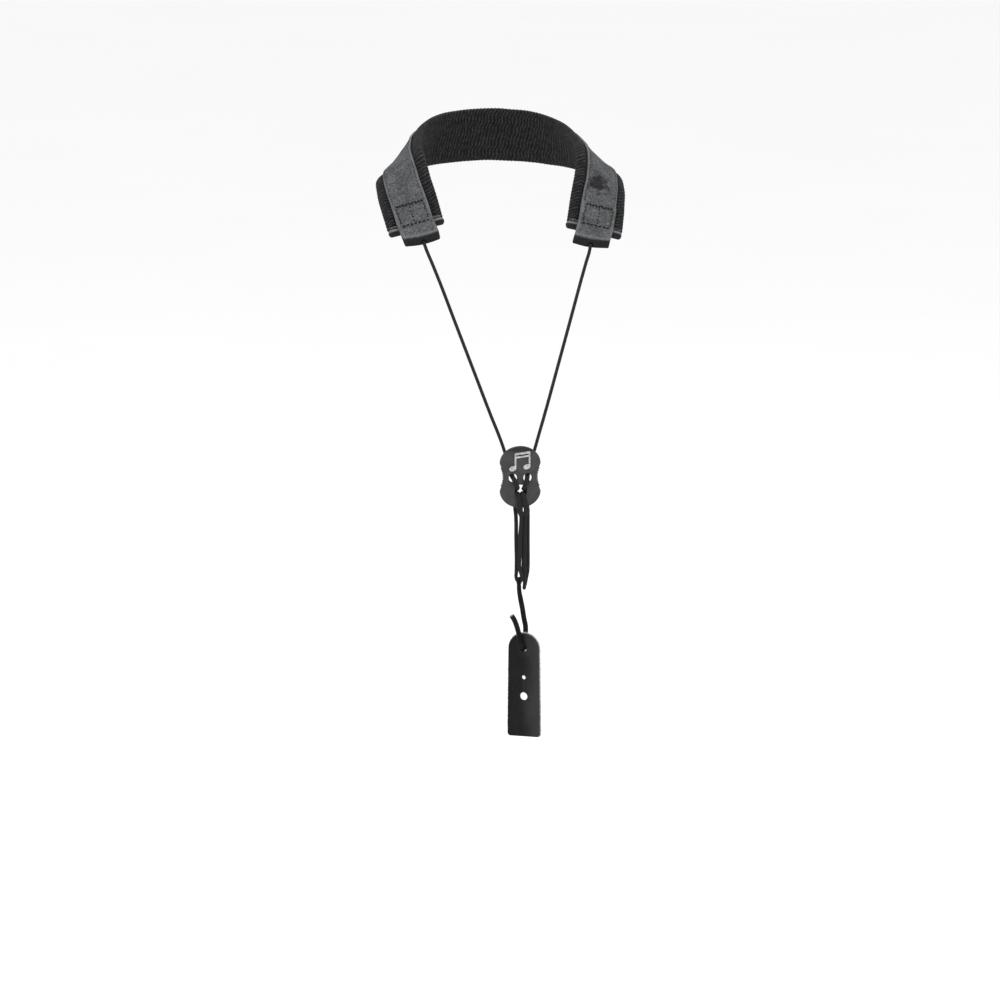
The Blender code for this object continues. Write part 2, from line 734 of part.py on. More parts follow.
def make_emblem():
    """A pair of notes under two beams, as one flat raised mark on the plate's upper lobe."""
    name = "slider_emblem"
    front = -(PLATE_THICKNESS / 2 + GAP + EMBLEM_THICKNESS / 2)
    frame = upright(SLIDER_CENTRE + Vector((0, front, EMBLEM_Z)))
    beam = add_object(name, box_mesh(name, (0.0111, 0.0015, EMBLEM_THICKNESS)), "emblem_silver")
    beam.matrix_world = frame @ Matrix.Translation((0.0014, 0.0058, 0)) @ Matrix.Rotation(0.12, 4, "Z")
    second = add_cutter("second_beam", box_mesh("second_beam", (0.0108, 0.0012, EMBLEM_THICKNESS * 0.97)))
    second.matrix_world = frame @ Matrix.Translation((0.0014, 0.0034, 0)) @ Matrix.Rotation(0.12, 4, "Z")
    boolean(beam, "UNION", second)
    for side_name, x in (("left", -0.0036), ("right", 0.0064)):
        stem_name = "note_stem_" + side_name
        stem = add_cutter(stem_name, box_mesh(stem_name, (0.0012, 0.0106, EMBLEM_THICKNESS * 0.98)))
        stem.matrix_world = frame @ Matrix.Translation((x, 0.0008 + 0.12 * x, 0))
        boolean(beam, "UNION", stem)
        head_name = "note_head_" + side_name
        head = add_cutter(head_name, cylinder_mesh(head_name, 0.0026, EMBLEM_THICKNESS * 0.96))
        place = Matrix.Translation((x - 0.0019, -0.0046 + 0.12 * x, 0)) @ Matrix.Rotation(0.35, 4, "Z")
        head.matrix_world = frame @ place @ Matrix.Diagonal((1.0, 0.70, 1.0, 1.0))
        boolean(beam, "UNION", head)


# ---------- cords ----------


def make_cords():
    """The neck cords, the way through the slider, the hitch, and the strands and bights below."""
    for name, side, route in (("cord_left", -1, mirrored(NECK_CORD)), ("cord_right", 1, NECK_CORD)):
        way_out = [loop_frame(side) @ Vector((0, 0, z)) for z in (-LOOP_WALL, 0.0008, 0.0025, 0.0050)]
        tube(name, way_out + [Vector(p) for p in route], CORD_RADIUS, "cord_black", 0.0030)
    bends = {"cord_hitch": HITCH, "cord_bight_left": BIGHT_LEFT, "cord_bight_right": BIGHT_RIGHT}
    for name, route in (WEAVES | bends).items():
        tube(name, offset_by(SLIDER_CENTRE, route), CORD_RADIUS, "cord_black", FINE_STEP)
    for name, route in STRANDS.items():
        tube(name, offset_by(SLIDER_CENTRE, route), CORD_RADIUS, "cord_black")


# ---------- tab and lace ----------


def tab_outline():
    """A round top, sides that spread a little, and rounded lower corners."""
    middle = TAB_TOP - TAB_TOP_RADIUS
    low = TAB_BOTTOM + TAB_CORNER
    wide = TAB_BOTTOM_HALF_WIDTH - TAB_CORNER
    return [
        *arc(0, middle, TAB_TOP_RADIUS, 0, 180, 21),
        *arc(-wide, low, TAB_CORNER, 180, 270, 5),
        *arc(wide, low, TAB_CORNER, 270, 360, 5),
    ]


def buttonhole():
    """The small hole, the slit and the large hole, as one outline."""
    small = math.degrees(math.asin(SLIT_HALF_WIDTH / SMALL_HOLE_RADIUS))
    large = math.degrees(math.asin(SLIT_HALF_WIDTH / LARGE_HOLE_RADIUS))
    return [
        *arc(0, SMALL_HOLE_Z, SMALL_HOLE_RADIUS, -90 + small, 270 - small, 17),
        *arc(0, LARGE_HOLE_Z, LARGE_HOLE_RADIUS, 90 + large, 450 - large, 25),
    ]


def make_tab():
    """The leather and, behind it, the suede lining."""
    outlines = [tab_outline(), circle(0, 0, LACE_HOLE_RADIUS), buttonhole()]
    leather_sheet = flat_curve("tab_leather", outlines, LEATHER_THICKNESS)
    leather = add_object("tab_leather", leather_sheet, "leather_black")
    leather.matrix_world = upright(TAB_ORIGIN, TAB_TURN)
    lining_sheet = flat_curve("tab_lining", outlines, LINING_THICKNESS)
    lining = add_object("tab_lining", lining_sheet, "suede_grey")
    back = (LEATHER_THICKNESS + LINING_THICKNESS) / 2 + GAP
    shift = Matrix.Rotation(TAB_TURN, 3, "Z") @ Vector((0, back, 0))
    lining.matrix_world = upright(TAB_ORIGIN + shift, TAB_TURN)


def make_lace():
    """The lace: its eye round the left bight, joined to the part that runs down and through the tab."""
    name = "tab_lace"
    into_tab = Matrix.Translation(TAB_ORIGIN) @ Matrix.Rotation(TAB_TURN, 4, "Z")
    route = offset_by(SLIDER_CENTRE, LACE_TOP) + [into_tab @ Vector(p) for p in LACE_ROUND_TAB]
    mesh = mesh_of_curve(tube_curve(name, even_points(route, 0.0020), LACE_RADIUS), name)
    lace = add_object(name, mesh, "leather_black")
    centre = SLIDER_CENTRE + Vector(EYE_CENTRE)
    cord_way = (Vector(BIGHT_LEFT[5]) - Vector(BIGHT_LEFT[3])).normalized()
    aside = Vector((0, 0, 1)).cross(cord_way)
    ring = []
    for x, z in circle(0, 0, 1, 20):
        ring.append(centre + aside * x * EYE_RADII[0] + Vector((0, 0, z * EYE_RADII[1])))
    eye_mesh = mesh_of_curve(tube_curve("lace_eye", ring, EYE_TUBE_RADIUS, cyclic=True), "lace_eye")
    boolean(lace, "UNION", add_cutter("lace_eye", eye_mesh))


# ---------- what moves ----------


def add_axis(name, place, parent=None):
    """An empty on a joint's axis."""
    empty = bpy.data.objects.new(name, None)
    STRAP.objects.link(empty)
    empty.matrix_world = place
    if parent:
        hang(empty, parent)
    return empty


def hang(obj, parent):
    """Makes obj move with parent, from where it is now."""
    bpy.context.view_layer.update()
    obj.parent = parent
    obj.matrix_parent_inverse = parent.matrix_world.inverted()


def hang_moving_pieces():
    """The slider rides on the neck cords, the bights below it, and the lace and the tab swing from there."""
    slider = add_axis("slider_axis", Matrix.Translation(SLIDER_CENTRE))
    hanger = add_axis("hanger_axis", Matrix.Translation(SLIDER_CENTRE + Vector(EYE_CENTRE)), slider)
    cord_way = (Vector(BIGHT_LEFT[5]) - Vector(BIGHT_LEFT[3])).normalized()
    up = Vector((0, 0, 1))
    eye = axes_matrix(SLIDER_CENTRE + Vector(EYE_CENTRE), up, cord_way.cross(up), cord_way)
    lace = add_axis("lace_axis", eye, hanger)
    tab = add_axis("tab_axis", upright(TAB_ORIGIN, TAB_TURN), lace)
    pieces = {
        slider: ["slider_plate", "slider_emblem", *WEAVES, "cord_hitch", *STRANDS],
        hanger: ["cord_bight_left", "cord_bight_right"],
        lace: ["tab_lace"],
        tab: ["tab_leather", "tab_lining"],
    }
    for axis, names in pieces.items():
        for name in names:
            hang(bpy.data.objects[name], axis)


def shade_round_pieces():
    """Smooth shading wherever two faces meet at a small angle."""
    for obj in STRAP.objects:
        if obj.type == "MESH":
            obj.data.shade_smooth()
            obj.data.set_sharp_from_angle(angle=math.radians(35))


clear_scene()
STRAP = collection("neck_strap")
CUTTERS = collection("cutters", hidden=True)
make_pad()
make_hem("pad_end_hem_left", -1)
make_hem("pad_end_hem_right", 1)
make_webbing()
make_end_loop("left", -1)
make_end_loop("right", 1)
make_plate()
make_emblem()
make_cords()
make_tab()
make_lace()
hang_moving_pieces()
shade_round_pieces()
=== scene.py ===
"""Looks of a padded neck strap: knit, webbing, braided cord, leather and moulded plastic.

Metres, +Z up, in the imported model's frame: the wearer faces -Y, and the origin is the middle of the pad's
inner face at the back of the neck. Along the collar, s is the length from the back of the neck, w runs
across it from the edge at the neck to the outer edge, and n is the height above the pad's inner face.
"""

import bisect
import random
from math import asin, copysign, cos, degrees, exp, hypot, pi, radians, sin, sqrt

import bmesh
import bpy
from mathutils import Matrix, Vector, noise


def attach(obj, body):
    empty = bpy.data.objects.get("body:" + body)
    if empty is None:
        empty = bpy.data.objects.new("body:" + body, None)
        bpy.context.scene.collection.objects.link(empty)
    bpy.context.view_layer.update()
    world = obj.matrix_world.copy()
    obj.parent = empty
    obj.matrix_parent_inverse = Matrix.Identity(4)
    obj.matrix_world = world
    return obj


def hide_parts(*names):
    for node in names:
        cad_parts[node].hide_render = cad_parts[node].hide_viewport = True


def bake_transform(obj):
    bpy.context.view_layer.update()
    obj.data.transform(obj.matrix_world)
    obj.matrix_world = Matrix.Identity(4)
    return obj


MM = 0.001
noise.seed_set(3)  # noise_vector's offsets are random without a seed

# ---------- sizes shared with the CAD model ----------

COLLAR_HALF = [
    ((0.0, 0.0, 0.0), (0.0, 0.3, -0.95)),
    ((0.0335, -0.0085, -0.002), (0.18, 0.28, -0.93)),
    ((0.0555, -0.0305, -0.007), (0.44, 0.24, -0.86)),
    ((0.065, -0.054, -0.012), (0.65, 0.18, -0.76)),
    ((0.069, -0.0695, -0.017), (0.8, 0.12, -0.6)),
    ((0.069, -0.081, -0.027), (0.86, 0.06, -0.52)),
    ((0.0665, -0.091, -0.0405), (0.91, -0.02, -0.4)),
    ((0.0635, -0.1, -0.054), (0.95, -0.06, -0.3)),
    ((0.0592, -0.1107, -0.0695), (0.95, -0.22, -0.17)),
]
WEBBING_HALF_LENGTH = 0.174
COLLAR_SLIP = 0.0025
PAD_HALF_WIDTH = 0.0205
PAD_THICKNESS = 0.006
PAD_SHORT_OF_END = 0.0164
WEBBING_HALF_WIDTH = 0.0125
MAIN_N = 0.007  # middle of the webbing's layer on the pad
FOLD_N = 0.0087  # middle of the layer that is folded back over it
FOLD_LENGTH = 0.0315
NOSE_N = 0.00785  # middle of the loop in which the webbing turns back
CORD_RADIUS = 0.0012
SLIDER = Vector((0.0, -0.175, -0.2203))
PLATE_HALF_HEIGHT = 0.022
LOBE_HALF_WIDTH = 0.0145
LOBE_Z = 0.0099
WAIST_HALF_WIDTH = 0.0118
PLATE_THICKNESS = 0.0032
UPPER_HOLE_RADIUS = 0.003
UPPER_HOLE_X = 0.0052
UPPER_HOLE_Z = -0.0006
LOWER_HOLE_X = 0.00035
LOWER_HOLE_Z = -0.00965
LOWER_HOLE_HALF_WIDTH = 0.004
LOWER_HOLE_HALF_HEIGHT = 0.00405
TAB_ORIGIN = Vector((0.0026, -0.1753, -0.3434))
TAB_TURN = radians(-26)
TAB_TOP = 0.0107
TAB_BOTTOM = -0.0636
TAB_TOP_RADIUS = 0.0112
TAB_BOTTOM_HALF_WIDTH = 0.0119
TAB_CORNER = 0.0024
LEATHER_THICKNESS = 0.0016
LINING_THICKNESS = 0.0006
LACE_HOLE_RADIUS = 0.0023
SMALL_HOLE_Z = -0.0211
SMALL_HOLE_RADIUS = 0.00145
LARGE_HOLE_Z = -0.0347
LARGE_HOLE_RADIUS = 0.0028
LACE_RADIUS = 0.00175

NECK_CORD = [
    (0.0548, -0.1222, -0.0762), (0.0512, -0.1265, -0.086), (0.042, -0.1372, -0.1125),
    (0.03, -0.151, -0.147), (0.019, -0.1634, -0.1785), (0.013, -0.1698, -0.195),
    (0.0108, -0.1714, -0.2018), (0.0098, -0.1718, -0.2052),
]
# from here on, measured from SLIDER
WEAVE_START = [
    (0.0097, 0.0032, 0.0147), (0.0085, 0.0032, 0.01), (0.0068, 0.0032, 0.0045),
    (0.0057, 0.0028, 0.0014), (0.0052, 0.001, -0.0003), (0.0048, -0.001, -0.001),
]
WEAVE_LEFT = [(-x, y, z) for x, y, z in WEAVE_START] + [
    (-0.0042, -0.0029, -0.0026), (-0.0031, -0.0034, -0.005), (-0.0023, -0.0029, -0.0068),
    (-0.0021, -0.0011, -0.0081), (-0.0022, 0.0012, -0.009), (-0.0027, 0.003, -0.0099),
    (-0.0044, 0.0036, -0.0118), (-0.0043, 0.0032, -0.0155),
]
WEAVE_RIGHT = WEAVE_START + [
    (0.0043, -0.0029, -0.0026), (0.0034, -0.0034, -0.0048), (0.0027, -0.0029, -0.0065),
    (0.0025, -0.0011, -0.0078), (0.0026, 0.0011, -0.0087), (0.0034, 0.0029, -0.0097),
    (0.005, 0.0034, -0.0121), (0.0056, 0.0032, -0.0155),
]
HITCH = [
    (0.0007, -0.0011, -0.0296), (0.0006, -0.0013, -0.0277), (0.0003, -0.0024, -0.026),
    (-0.0004, -0.0037, -0.0249), (-0.0008, -0.0042, -0.0232), (-0.0007, -0.0041, -0.0205),
    (-0.0009, -0.0037, -0.0178), (-0.0013, -0.0034, -0.0156), (-0.0017, -0.0032, -0.0138),
    (-0.0019, -0.002, -0.0121), (-0.0019, 0.0, -0.0115), (-0.0018, 0.002, -0.0121),
    (-0.0016, 0.0033, -0.0138), (-0.0013, 0.0037, -0.0151), (-0.0007, 0.0039, -0.0162),
    (0.0001, 0.0039, -0.0166), (0.0008, 0.0039, -0.0162), (0.0014, 0.0037, -0.0151),
    (0.0017, 0.0033, -0.0138), (0.0017, 0.002, -0.0121), (0.0017, 0.0, -0.0115),
    (0.0018, -0.002, -0.0121), (0.002, -0.0032, -0.0138), (0.0025, -0.0033, -0.0156),
    (0.003, -0.0037, -0.0178), (0.0036, -0.0042, -0.0203), (0.0041, -0.004, -0.0225),
    (0.0041, -0.003, -0.0246), (0.0037, -0.0012, -0.0264), (0.0034, 0.0003, -0.0281),
    (0.0034, 0.0007, -0.0296),
]
STRAND_LEFT_BACK = [(-0.0028, 0.003, -0.026), (-0.0025, 0.002, -0.046)]
STRAND_LEFT_FRONT = [(0.0003, -0.0013, -0.036), (-0.0003, -0.0014, -0.043), (-0.0004, -0.0014, -0.054)]
STRAND_RIGHT_FRONT = [(0.0031, 0.0008, -0.042), (0.003, 0.0009, -0.054)]
STRAND_RIGHT_BACK = [(0.0057, 0.0035, -0.026), (0.0057, 0.0036, -0.046)]
BIGHT_LEFT = [
    (-0.0024, 0.0012, -0.0659), (-0.0025, 0.0012, -0.0685), (-0.0027, 0.0012, -0.0715),
    (-0.0021, 0.0009, -0.0742), (-0.0007, 0.0, -0.0754), (0.0007, -0.0009, -0.0742),
    (0.001, -0.0014, -0.0715), (0.0003, -0.0014, -0.0685), (-0.0004, -0.0014, -0.0659),
]
BIGHT_RIGHT = [
    (0.0029, 0.001, -0.0659), (0.003, 0.0009, -0.069), (0.0032, 0.0006, -0.073),
    (0.0032, 0.0004, -0.077), (0.0031, 0.0009, -0.0796), (0.0033, 0.0021, -0.0803),
    (0.0037, 0.0033, -0.0794), (0.0044, 0.0037, -0.077), (0.0051, 0.0037, -0.073),
    (0.0056, 0.0036, -0.069), (0.0057, 0.0036, -0.0659),
]
EYE_CENTRE = Vector((-0.0007, 0.0, -0.0751))
LACE_TOP = [
    (-0.0008, 0.0, -0.0776), (-0.0006, 0.0001, -0.0815), (0.0005, 0.0006, -0.088),
    (0.0019, 0.0012, -0.095), (0.0031, 0.0021, -0.102),
]
LACE_ROUND_TAB = [  # in the tab's frame
    (0.0, 0.0041, 0.015), (0.0, 0.0042, 0.009), (0.0, 0.0042, 0.0052),
    (0.0, 0.004, 0.0028), (0.0, 0.0032, 0.001), (0.0, 0.0019, 0.0001),
    (0.0, 0.0004, -0.0002), (-0.0001, -0.0011, 0.0), (-0.0003, -0.0023, 0.0008),
    (-0.0007, -0.0031, 0.0022), (-0.0012, -0.0034, 0.0045), (-0.002, -0.0034, 0.008),
    (-0.0028, -0.0036, 0.012), (-0.0041, -0.0041, 0.017), (-0.0055, -0.0048, 0.021),
    (-0.0069, -0.0064, 0.0242),
]

# ---------- sizes that only the looks have ----------

RIB_PITCH = 0.0025  # of the pad's knit
RIB_DEPTH = 0.00045
RIB_SLANT = 0.22
WEBBING_THICKNESS = 0.0013
CROWN_W = 0.0165  # the pad and its hems stand highest here, beside the webbing
CROWN_WIDTH = 0.004
GROOVE_W = 0.0128  # the webbing's seams draw the pad in here
GROOVE_WIDTH = 0.0009
HEM_INSIDE_END = PAD_SHORT_OF_END - 0.0024
HEM_HALF_LENGTH = 0.0028
HEM_HALF_HEIGHT = 0.0032
HEM_TIP = 0.0022  # length of a hem's rounded tips
BINDING_RADIUS = 0.00062
SELVEDGE_W = 0.0119
SELVEDGE_WIDTH = 0.0006
ROW_WIDTH = 0.0205
FOLD_ROWS = ((0.03, 0.0023, 0.0008), (0.0145, 0.0029, 0.0003))  # (inside the end, pitch, swing)
FOLD_COLUMNS = ((-0.01, 6, 0.0005), (0.0004, 5, 0.0007), (0.01, 6, 0.0005))  # (w, stitches, half length)
EDGE_STITCHES = 60
EDGE_PITCH = 0.0022
EYELET_RADIUS = 0.0015
EYELET_TUBE_RADIUS = 0.00034
EYELET_HOLE_RADIUS = 0.00152
PLATE_EDGE = 0.0009
RIDGE_COUNT = 8  # on each side of the slider's waist
RIDGE_PITCH = 0.0017
RIDGE_RADIUS = 0.00065
SLIT_HALF_WIDTH = 0.00022
EYE_RADII = (0.0024, 0.0026)
EYE_TUBE_RADIUS = 0.00092
EYE_NECK_RADIUS = 0.0015
CUT_END_RADIUS = 0.00125
LACE_VOXEL = 0.00028
LEATHER_EDGE = 0.00035
LINING_EDGE = 0.0001
LINING_GAP = 0.0002
FIBRE_RADIUS = 0.00005
SUEDE_PAST_LEATHER = 0.0006
SUEDE_RAGGEDNESS = 0.00038
FLOOR_Z = -0.62
CAMERA_AIM = Vector((-0.0094, -0.14, -0.2442))
CAMERA_DISTANCE = 5.0
VIEW_WIDTH = 0.71  # of the picture, at the strap
SENSOR_WIDTH = 36.0


# ---------- curves and frames ----------


def catmull_rom(points, samples):
    """Points on a smooth curve through the given ones, with so many samples to each stretch."""
    ends = [points[0] * 2 - points[1], *points, points[-1] * 2 - points[-2]]
    curve = []
    for a, b, c, d in zip(ends, ends[1:], ends[2:], ends[3:]):
        square, cube = 2 * a - 5 * b + 4 * c - d, 3 * b - a - 3 * c + d
        for k in range(samples):
            t = k / samples
            curve.append(0.5 * (2 * b + (c - a) * t + square * t**2 + cube * t**3))
    return [*curve, points[-1]]


def lengths_along(points):
    """The length from the start to each point."""
    lengths = [0.0]
    for a, b in zip(points, points[1:]):
        lengths.append(lengths[-1] + (b - a).length)
    return lengths


def smooth_line(points, samples):
    """Points on a smooth curve through unevenly spaced ones, with so many samples to each stretch."""
    ends = [points[0] * 2 - points[1], *points, points[-1] * 2 - points[-2]]
    ways = []
    for a, b, c in zip(ends, ends[1:], ends[2:]):
        before, after = (b - a).length, (c - b).length
        ways.append(((b - a) / before * after + (c - b) / after * before) / (before + after))
    curve = []
    for a, b, way_a, way_b in zip(points, points[1:], ways, ways[1:]):
        reach = (b - a).length
        for k in range(samples):
            t = k / samples
            near, far = 2 * t**3 - 3 * t**2 + 1, 3 * t**2 - 2 * t**3
            bend = way_a * (t**3 - 2 * t**2 + t) + way_b * (t**3 - t**2)
            curve.append(a * near + b * far + bend * reach)
    return [*curve, points[-1]]


def even_points(route, step):
    """Points about a step apart along a smooth curve through the route."""
    fine = smooth_line([Vector(p) for p in route], 20)
    lengths = lengths_along(fine)
    count = max(3, round(lengths[-1] / step))
    points = []
    for i in range(count + 1):
        want = lengths[-1] * i / count
        k = min(len(fine) - 2, max(0, bisect.bisect_right(lengths, want) - 1))
        share = (want - lengths[k]) / (lengths[k + 1] - lengths[k])
        points.append(fine[k].lerp(fine[k + 1], min(1.0, share)))
    return points


def collar_samples():
    """Closely spaced lengths, points and w directions along the collar, with s = 0 at the neck's back."""
    right = [(Vector(p), Vector(w)) for p, w in COLLAR_HALF]
    left = [(Vector((-p.x, p.y, p.z)), Vector((-w.x, w.y, w.z))) for p, w in right[:0:-1]]
    points = catmull_rom([p for p, _ in left + right], 24)
    across = catmull_rom([w for _, w in left + right], 24)
    lengths = lengths_along(points)
    return [s - lengths[-1] / 2 for s in lengths], points, across


COLLAR_S, COLLAR_POINTS, COLLAR_ACROSS = collar_samples()


def collar_frame(s):
    """The collar's point at s, and its directions along, across and outwards."""
    k = min(len(COLLAR_S) - 2, max(1, bisect.bisect_right(COLLAR_S, s) - 1))
    share = (s - COLLAR_S[k]) / (COLLAR_S[k + 1] - COLLAR_S[k])
    along = (COLLAR_POINTS[min(len(COLLAR_S) - 1, k + 3)] - COLLAR_POINTS[max(0, k - 2)]).normalized()
    across = COLLAR_ACROSS[k].lerp(COLLAR_ACROSS[k + 1], share)
    across = (across - along * across.dot(along)).normalized()
    return COLLAR_POINTS[k].lerp(COLLAR_POINTS[k + 1], share), along, across, along.cross(across)


def collar_point(s, w, n):
    """The place of (s, w, n) in the strap's frame."""
    point, _, across, out = collar_frame(s)
    return point + across * w + out * n


def from_end(side, length):
    """The collar's s at some length before one of the webbing's ends."""
    return COLLAR_SLIP + side * (WEBBING_HALF_LENGTH - length)


def tab_frame():
    """The tab's frame: x across it, y to its back, z up, with the lace hole at its origin."""
    return Matrix.Translation(TAB_ORIGIN) @ Matrix.Rotation(TAB_TURN, 4, "Z")


def from_slider(route):
    """A route's points, measured from the slider's middle."""
    return [SLIDER + Vector(p) for p in route]


def ramp(value, start, reach):
    """A value's rise from 0 at start to 1 a reach further on."""
    return min(1.0, max(0.0, (value - start) / reach))


def hump(value, middle, width):
    """A smooth hump, which is 1 at middle and falls to nothing a few widths away."""
    return exp(-(((value - middle) / width) ** 2))


def round_line(middle, across, up, count):
    """A closed line round a point: an ellipse with two given half axes."""
    angles = [2 * pi * k / count for k in range(count + 1)]
    return [middle + across * cos(a) + up * sin(a) for a in angles]


def rough(point, size, depth, seed=0.0):
    """A smooth offset of up to about depth, which changes over size."""
    return noise.noise_vector(point / size + Vector((seed, 0, 0))) * depth


# ---------- meshes ----------


def new_object(name, data):
    """An object in the scene."""
    obj = bpy.data.objects.new(name, data)
    bpy.context.scene.collection.objects.link(obj)
    return obj


def new_piece(name, mesh, material, body):
    """An object of the strap, in its body and with its material."""
    mesh.materials.append(material)
    obj = new_object(name, mesh)
    if body:
        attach(obj, body)
    return obj


def grid_mesh(name, rings, uvs, closed=True, capped=False):
    """A skin over rings of points, smooth, with UVs in millimetres. A ring's last uv is that of its seam."""
    work = bmesh.new()
    layer = work.loops.layers.uv.new("UVMap")
    verts = [[work.verts.new(p) for p in ring] for ring in rings]
    count = len(rings[0])
    for i in range(len(rings) - 1):
        for j in range(count if closed else count - 1):
            k = (j + 1) % count
            face = work.faces.new((verts[i][j], verts[i][k], verts[i + 1][k], verts[i + 1][j]))
            face.smooth = True
            corners = ((i, j), (i, j + 1), (i + 1, j + 1), (i + 1, j))
            for loop, (a, b) in zip(face.loops, corners):
                loop[layer].uv = uvs[a][b]
    if capped:
        for ring, uv, flip in ((verts[0], uvs[0], True), (verts[-1], uvs[-1], False)):
            face = work.faces.new(ring[::-1] if flip else ring)
            for loop in face.loops:
                loop[layer].uv = uv[0]
    bmesh.ops.recalc_face_normals(work, faces=work.faces)
    mesh = bpy.data.meshes.new(name)
    work.to_mesh(mesh)
    work.free()
    return mesh


def tube_mesh(name, points, radius, sides=16, taper_ends=0.0, press=None):
    """A round tube along points, with u round it (0 to 1) and v along it in millimetres.

    press turns a point of the middle line and an offset from it into the offset of a pressed, flatter tube.
    """
    tangents = [(b - a).normalized() for a, b in zip(points, points[1:])]
    tangents = [tangents[0], *[(a + b).normalized() for a, b in zip(tangents, tangents[1:])], tangents[-1]]
    side = tangents[0].orthogonal().normalized()
    lengths = lengths_along(points)
    rings, uvs = [], []
    for point, tangent, length in zip(points, tangents, lengths):
        side = (side - tangent * side.dot(tangent)).normalized()
        up = tangent.cross(side)
        near_end = min(length, lengths[-1] - length)
        grow = 1.0 if near_end >= taper_ends else sqrt(max(0.05, 1 - (1 - near_end / taper_ends) ** 2))
        ring = []
        for j in range(sides):
            a = 2 * pi * j / sides
            offset = (side * cos(a) + up * sin(a)) * radius * grow
            ring.append(point + (press(point, offset) if press else offset))
        rings.append(ring)
        uvs.append([(j / sides, length / MM) for j in range(sides + 1)])
    return grid_mesh(name, rings, uvs, capped=True)


def joined(name, meshes):
    """One mesh from several."""
    work = bmesh.new()
    for mesh in meshes:
        work.from_mesh(mesh)
    whole = bpy.data.meshes.new(name)
    work.to_mesh(whole)
    work.free()
    for mesh in meshes:
        bpy.data.meshes.remove(mesh)
    return whole


def evaluated_mesh(name, data, prepare=None):
    """The mesh that Blender makes of a curve or of a mesh with modifiers, which prepare adds."""
    guide = new_object(name + "_guide", data)
    if prepare:
        prepare(guide)
    mesh = bpy.data.meshes.new_from_object(guide.evaluated_get(bpy.context.evaluated_depsgraph_get()))
    bpy.data.objects.remove(guide)
    mesh.name = name
    mesh.shade_smooth()
    return mesh


def moulding(name, outlines, thickness, rounding, matrix):
    """A flat piece with rounded edges from an outer outline and those of its holes, all of (x, y) points."""
    curve = bpy.data.curves.new(name, "CURVE")
    curve.dimensions = "2D"
    curve.fill_mode = "BOTH"
    curve.extrude = thickness / 2 - rounding
    curve.bevel_depth = rounding
    curve.bevel_resolution = 3
    curve.offset = -rounding
    for outline in outlines:
        spline = curve.splines.new("POLY")
        spline.points.add(len(outline) - 1)
        for point, (x, y) in zip(spline.points, outline):
            point.co = (x, y, 0.0, 1.0)
        spline.use_cyclic_u = True
    mesh = evaluated_mesh(name, curve)
    bpy.data.curves.remove(curve)
    mesh.transform(matrix)
    mesh.set_sharp_from_angle(angle=radians(50))
    return mesh


def arc(x, y, radius, start, end, count):
    """Points on an arc from one angle to another, in degrees."""
    angles = [radians(start + (end - start) * k / (count - 1)) for k in range(count)]
    return [(x + radius * cos(a), y + radius * sin(a)) for a in angles]


def circle(x, y, radius, count=40):
    """A circle's points, without a double one at its start."""
    return arc(x, y, radius, 0, 360, count + 1)[:-1]


def upright(origin, turn=0.0):
    """A frame whose local x and y become the world's x and z."""
    return Matrix.Translation(origin) @ Matrix.Rotation(turn, 4, "Z") @ Matrix.Rotation(pi / 2, 4, "X")


# ---------- materials ----------


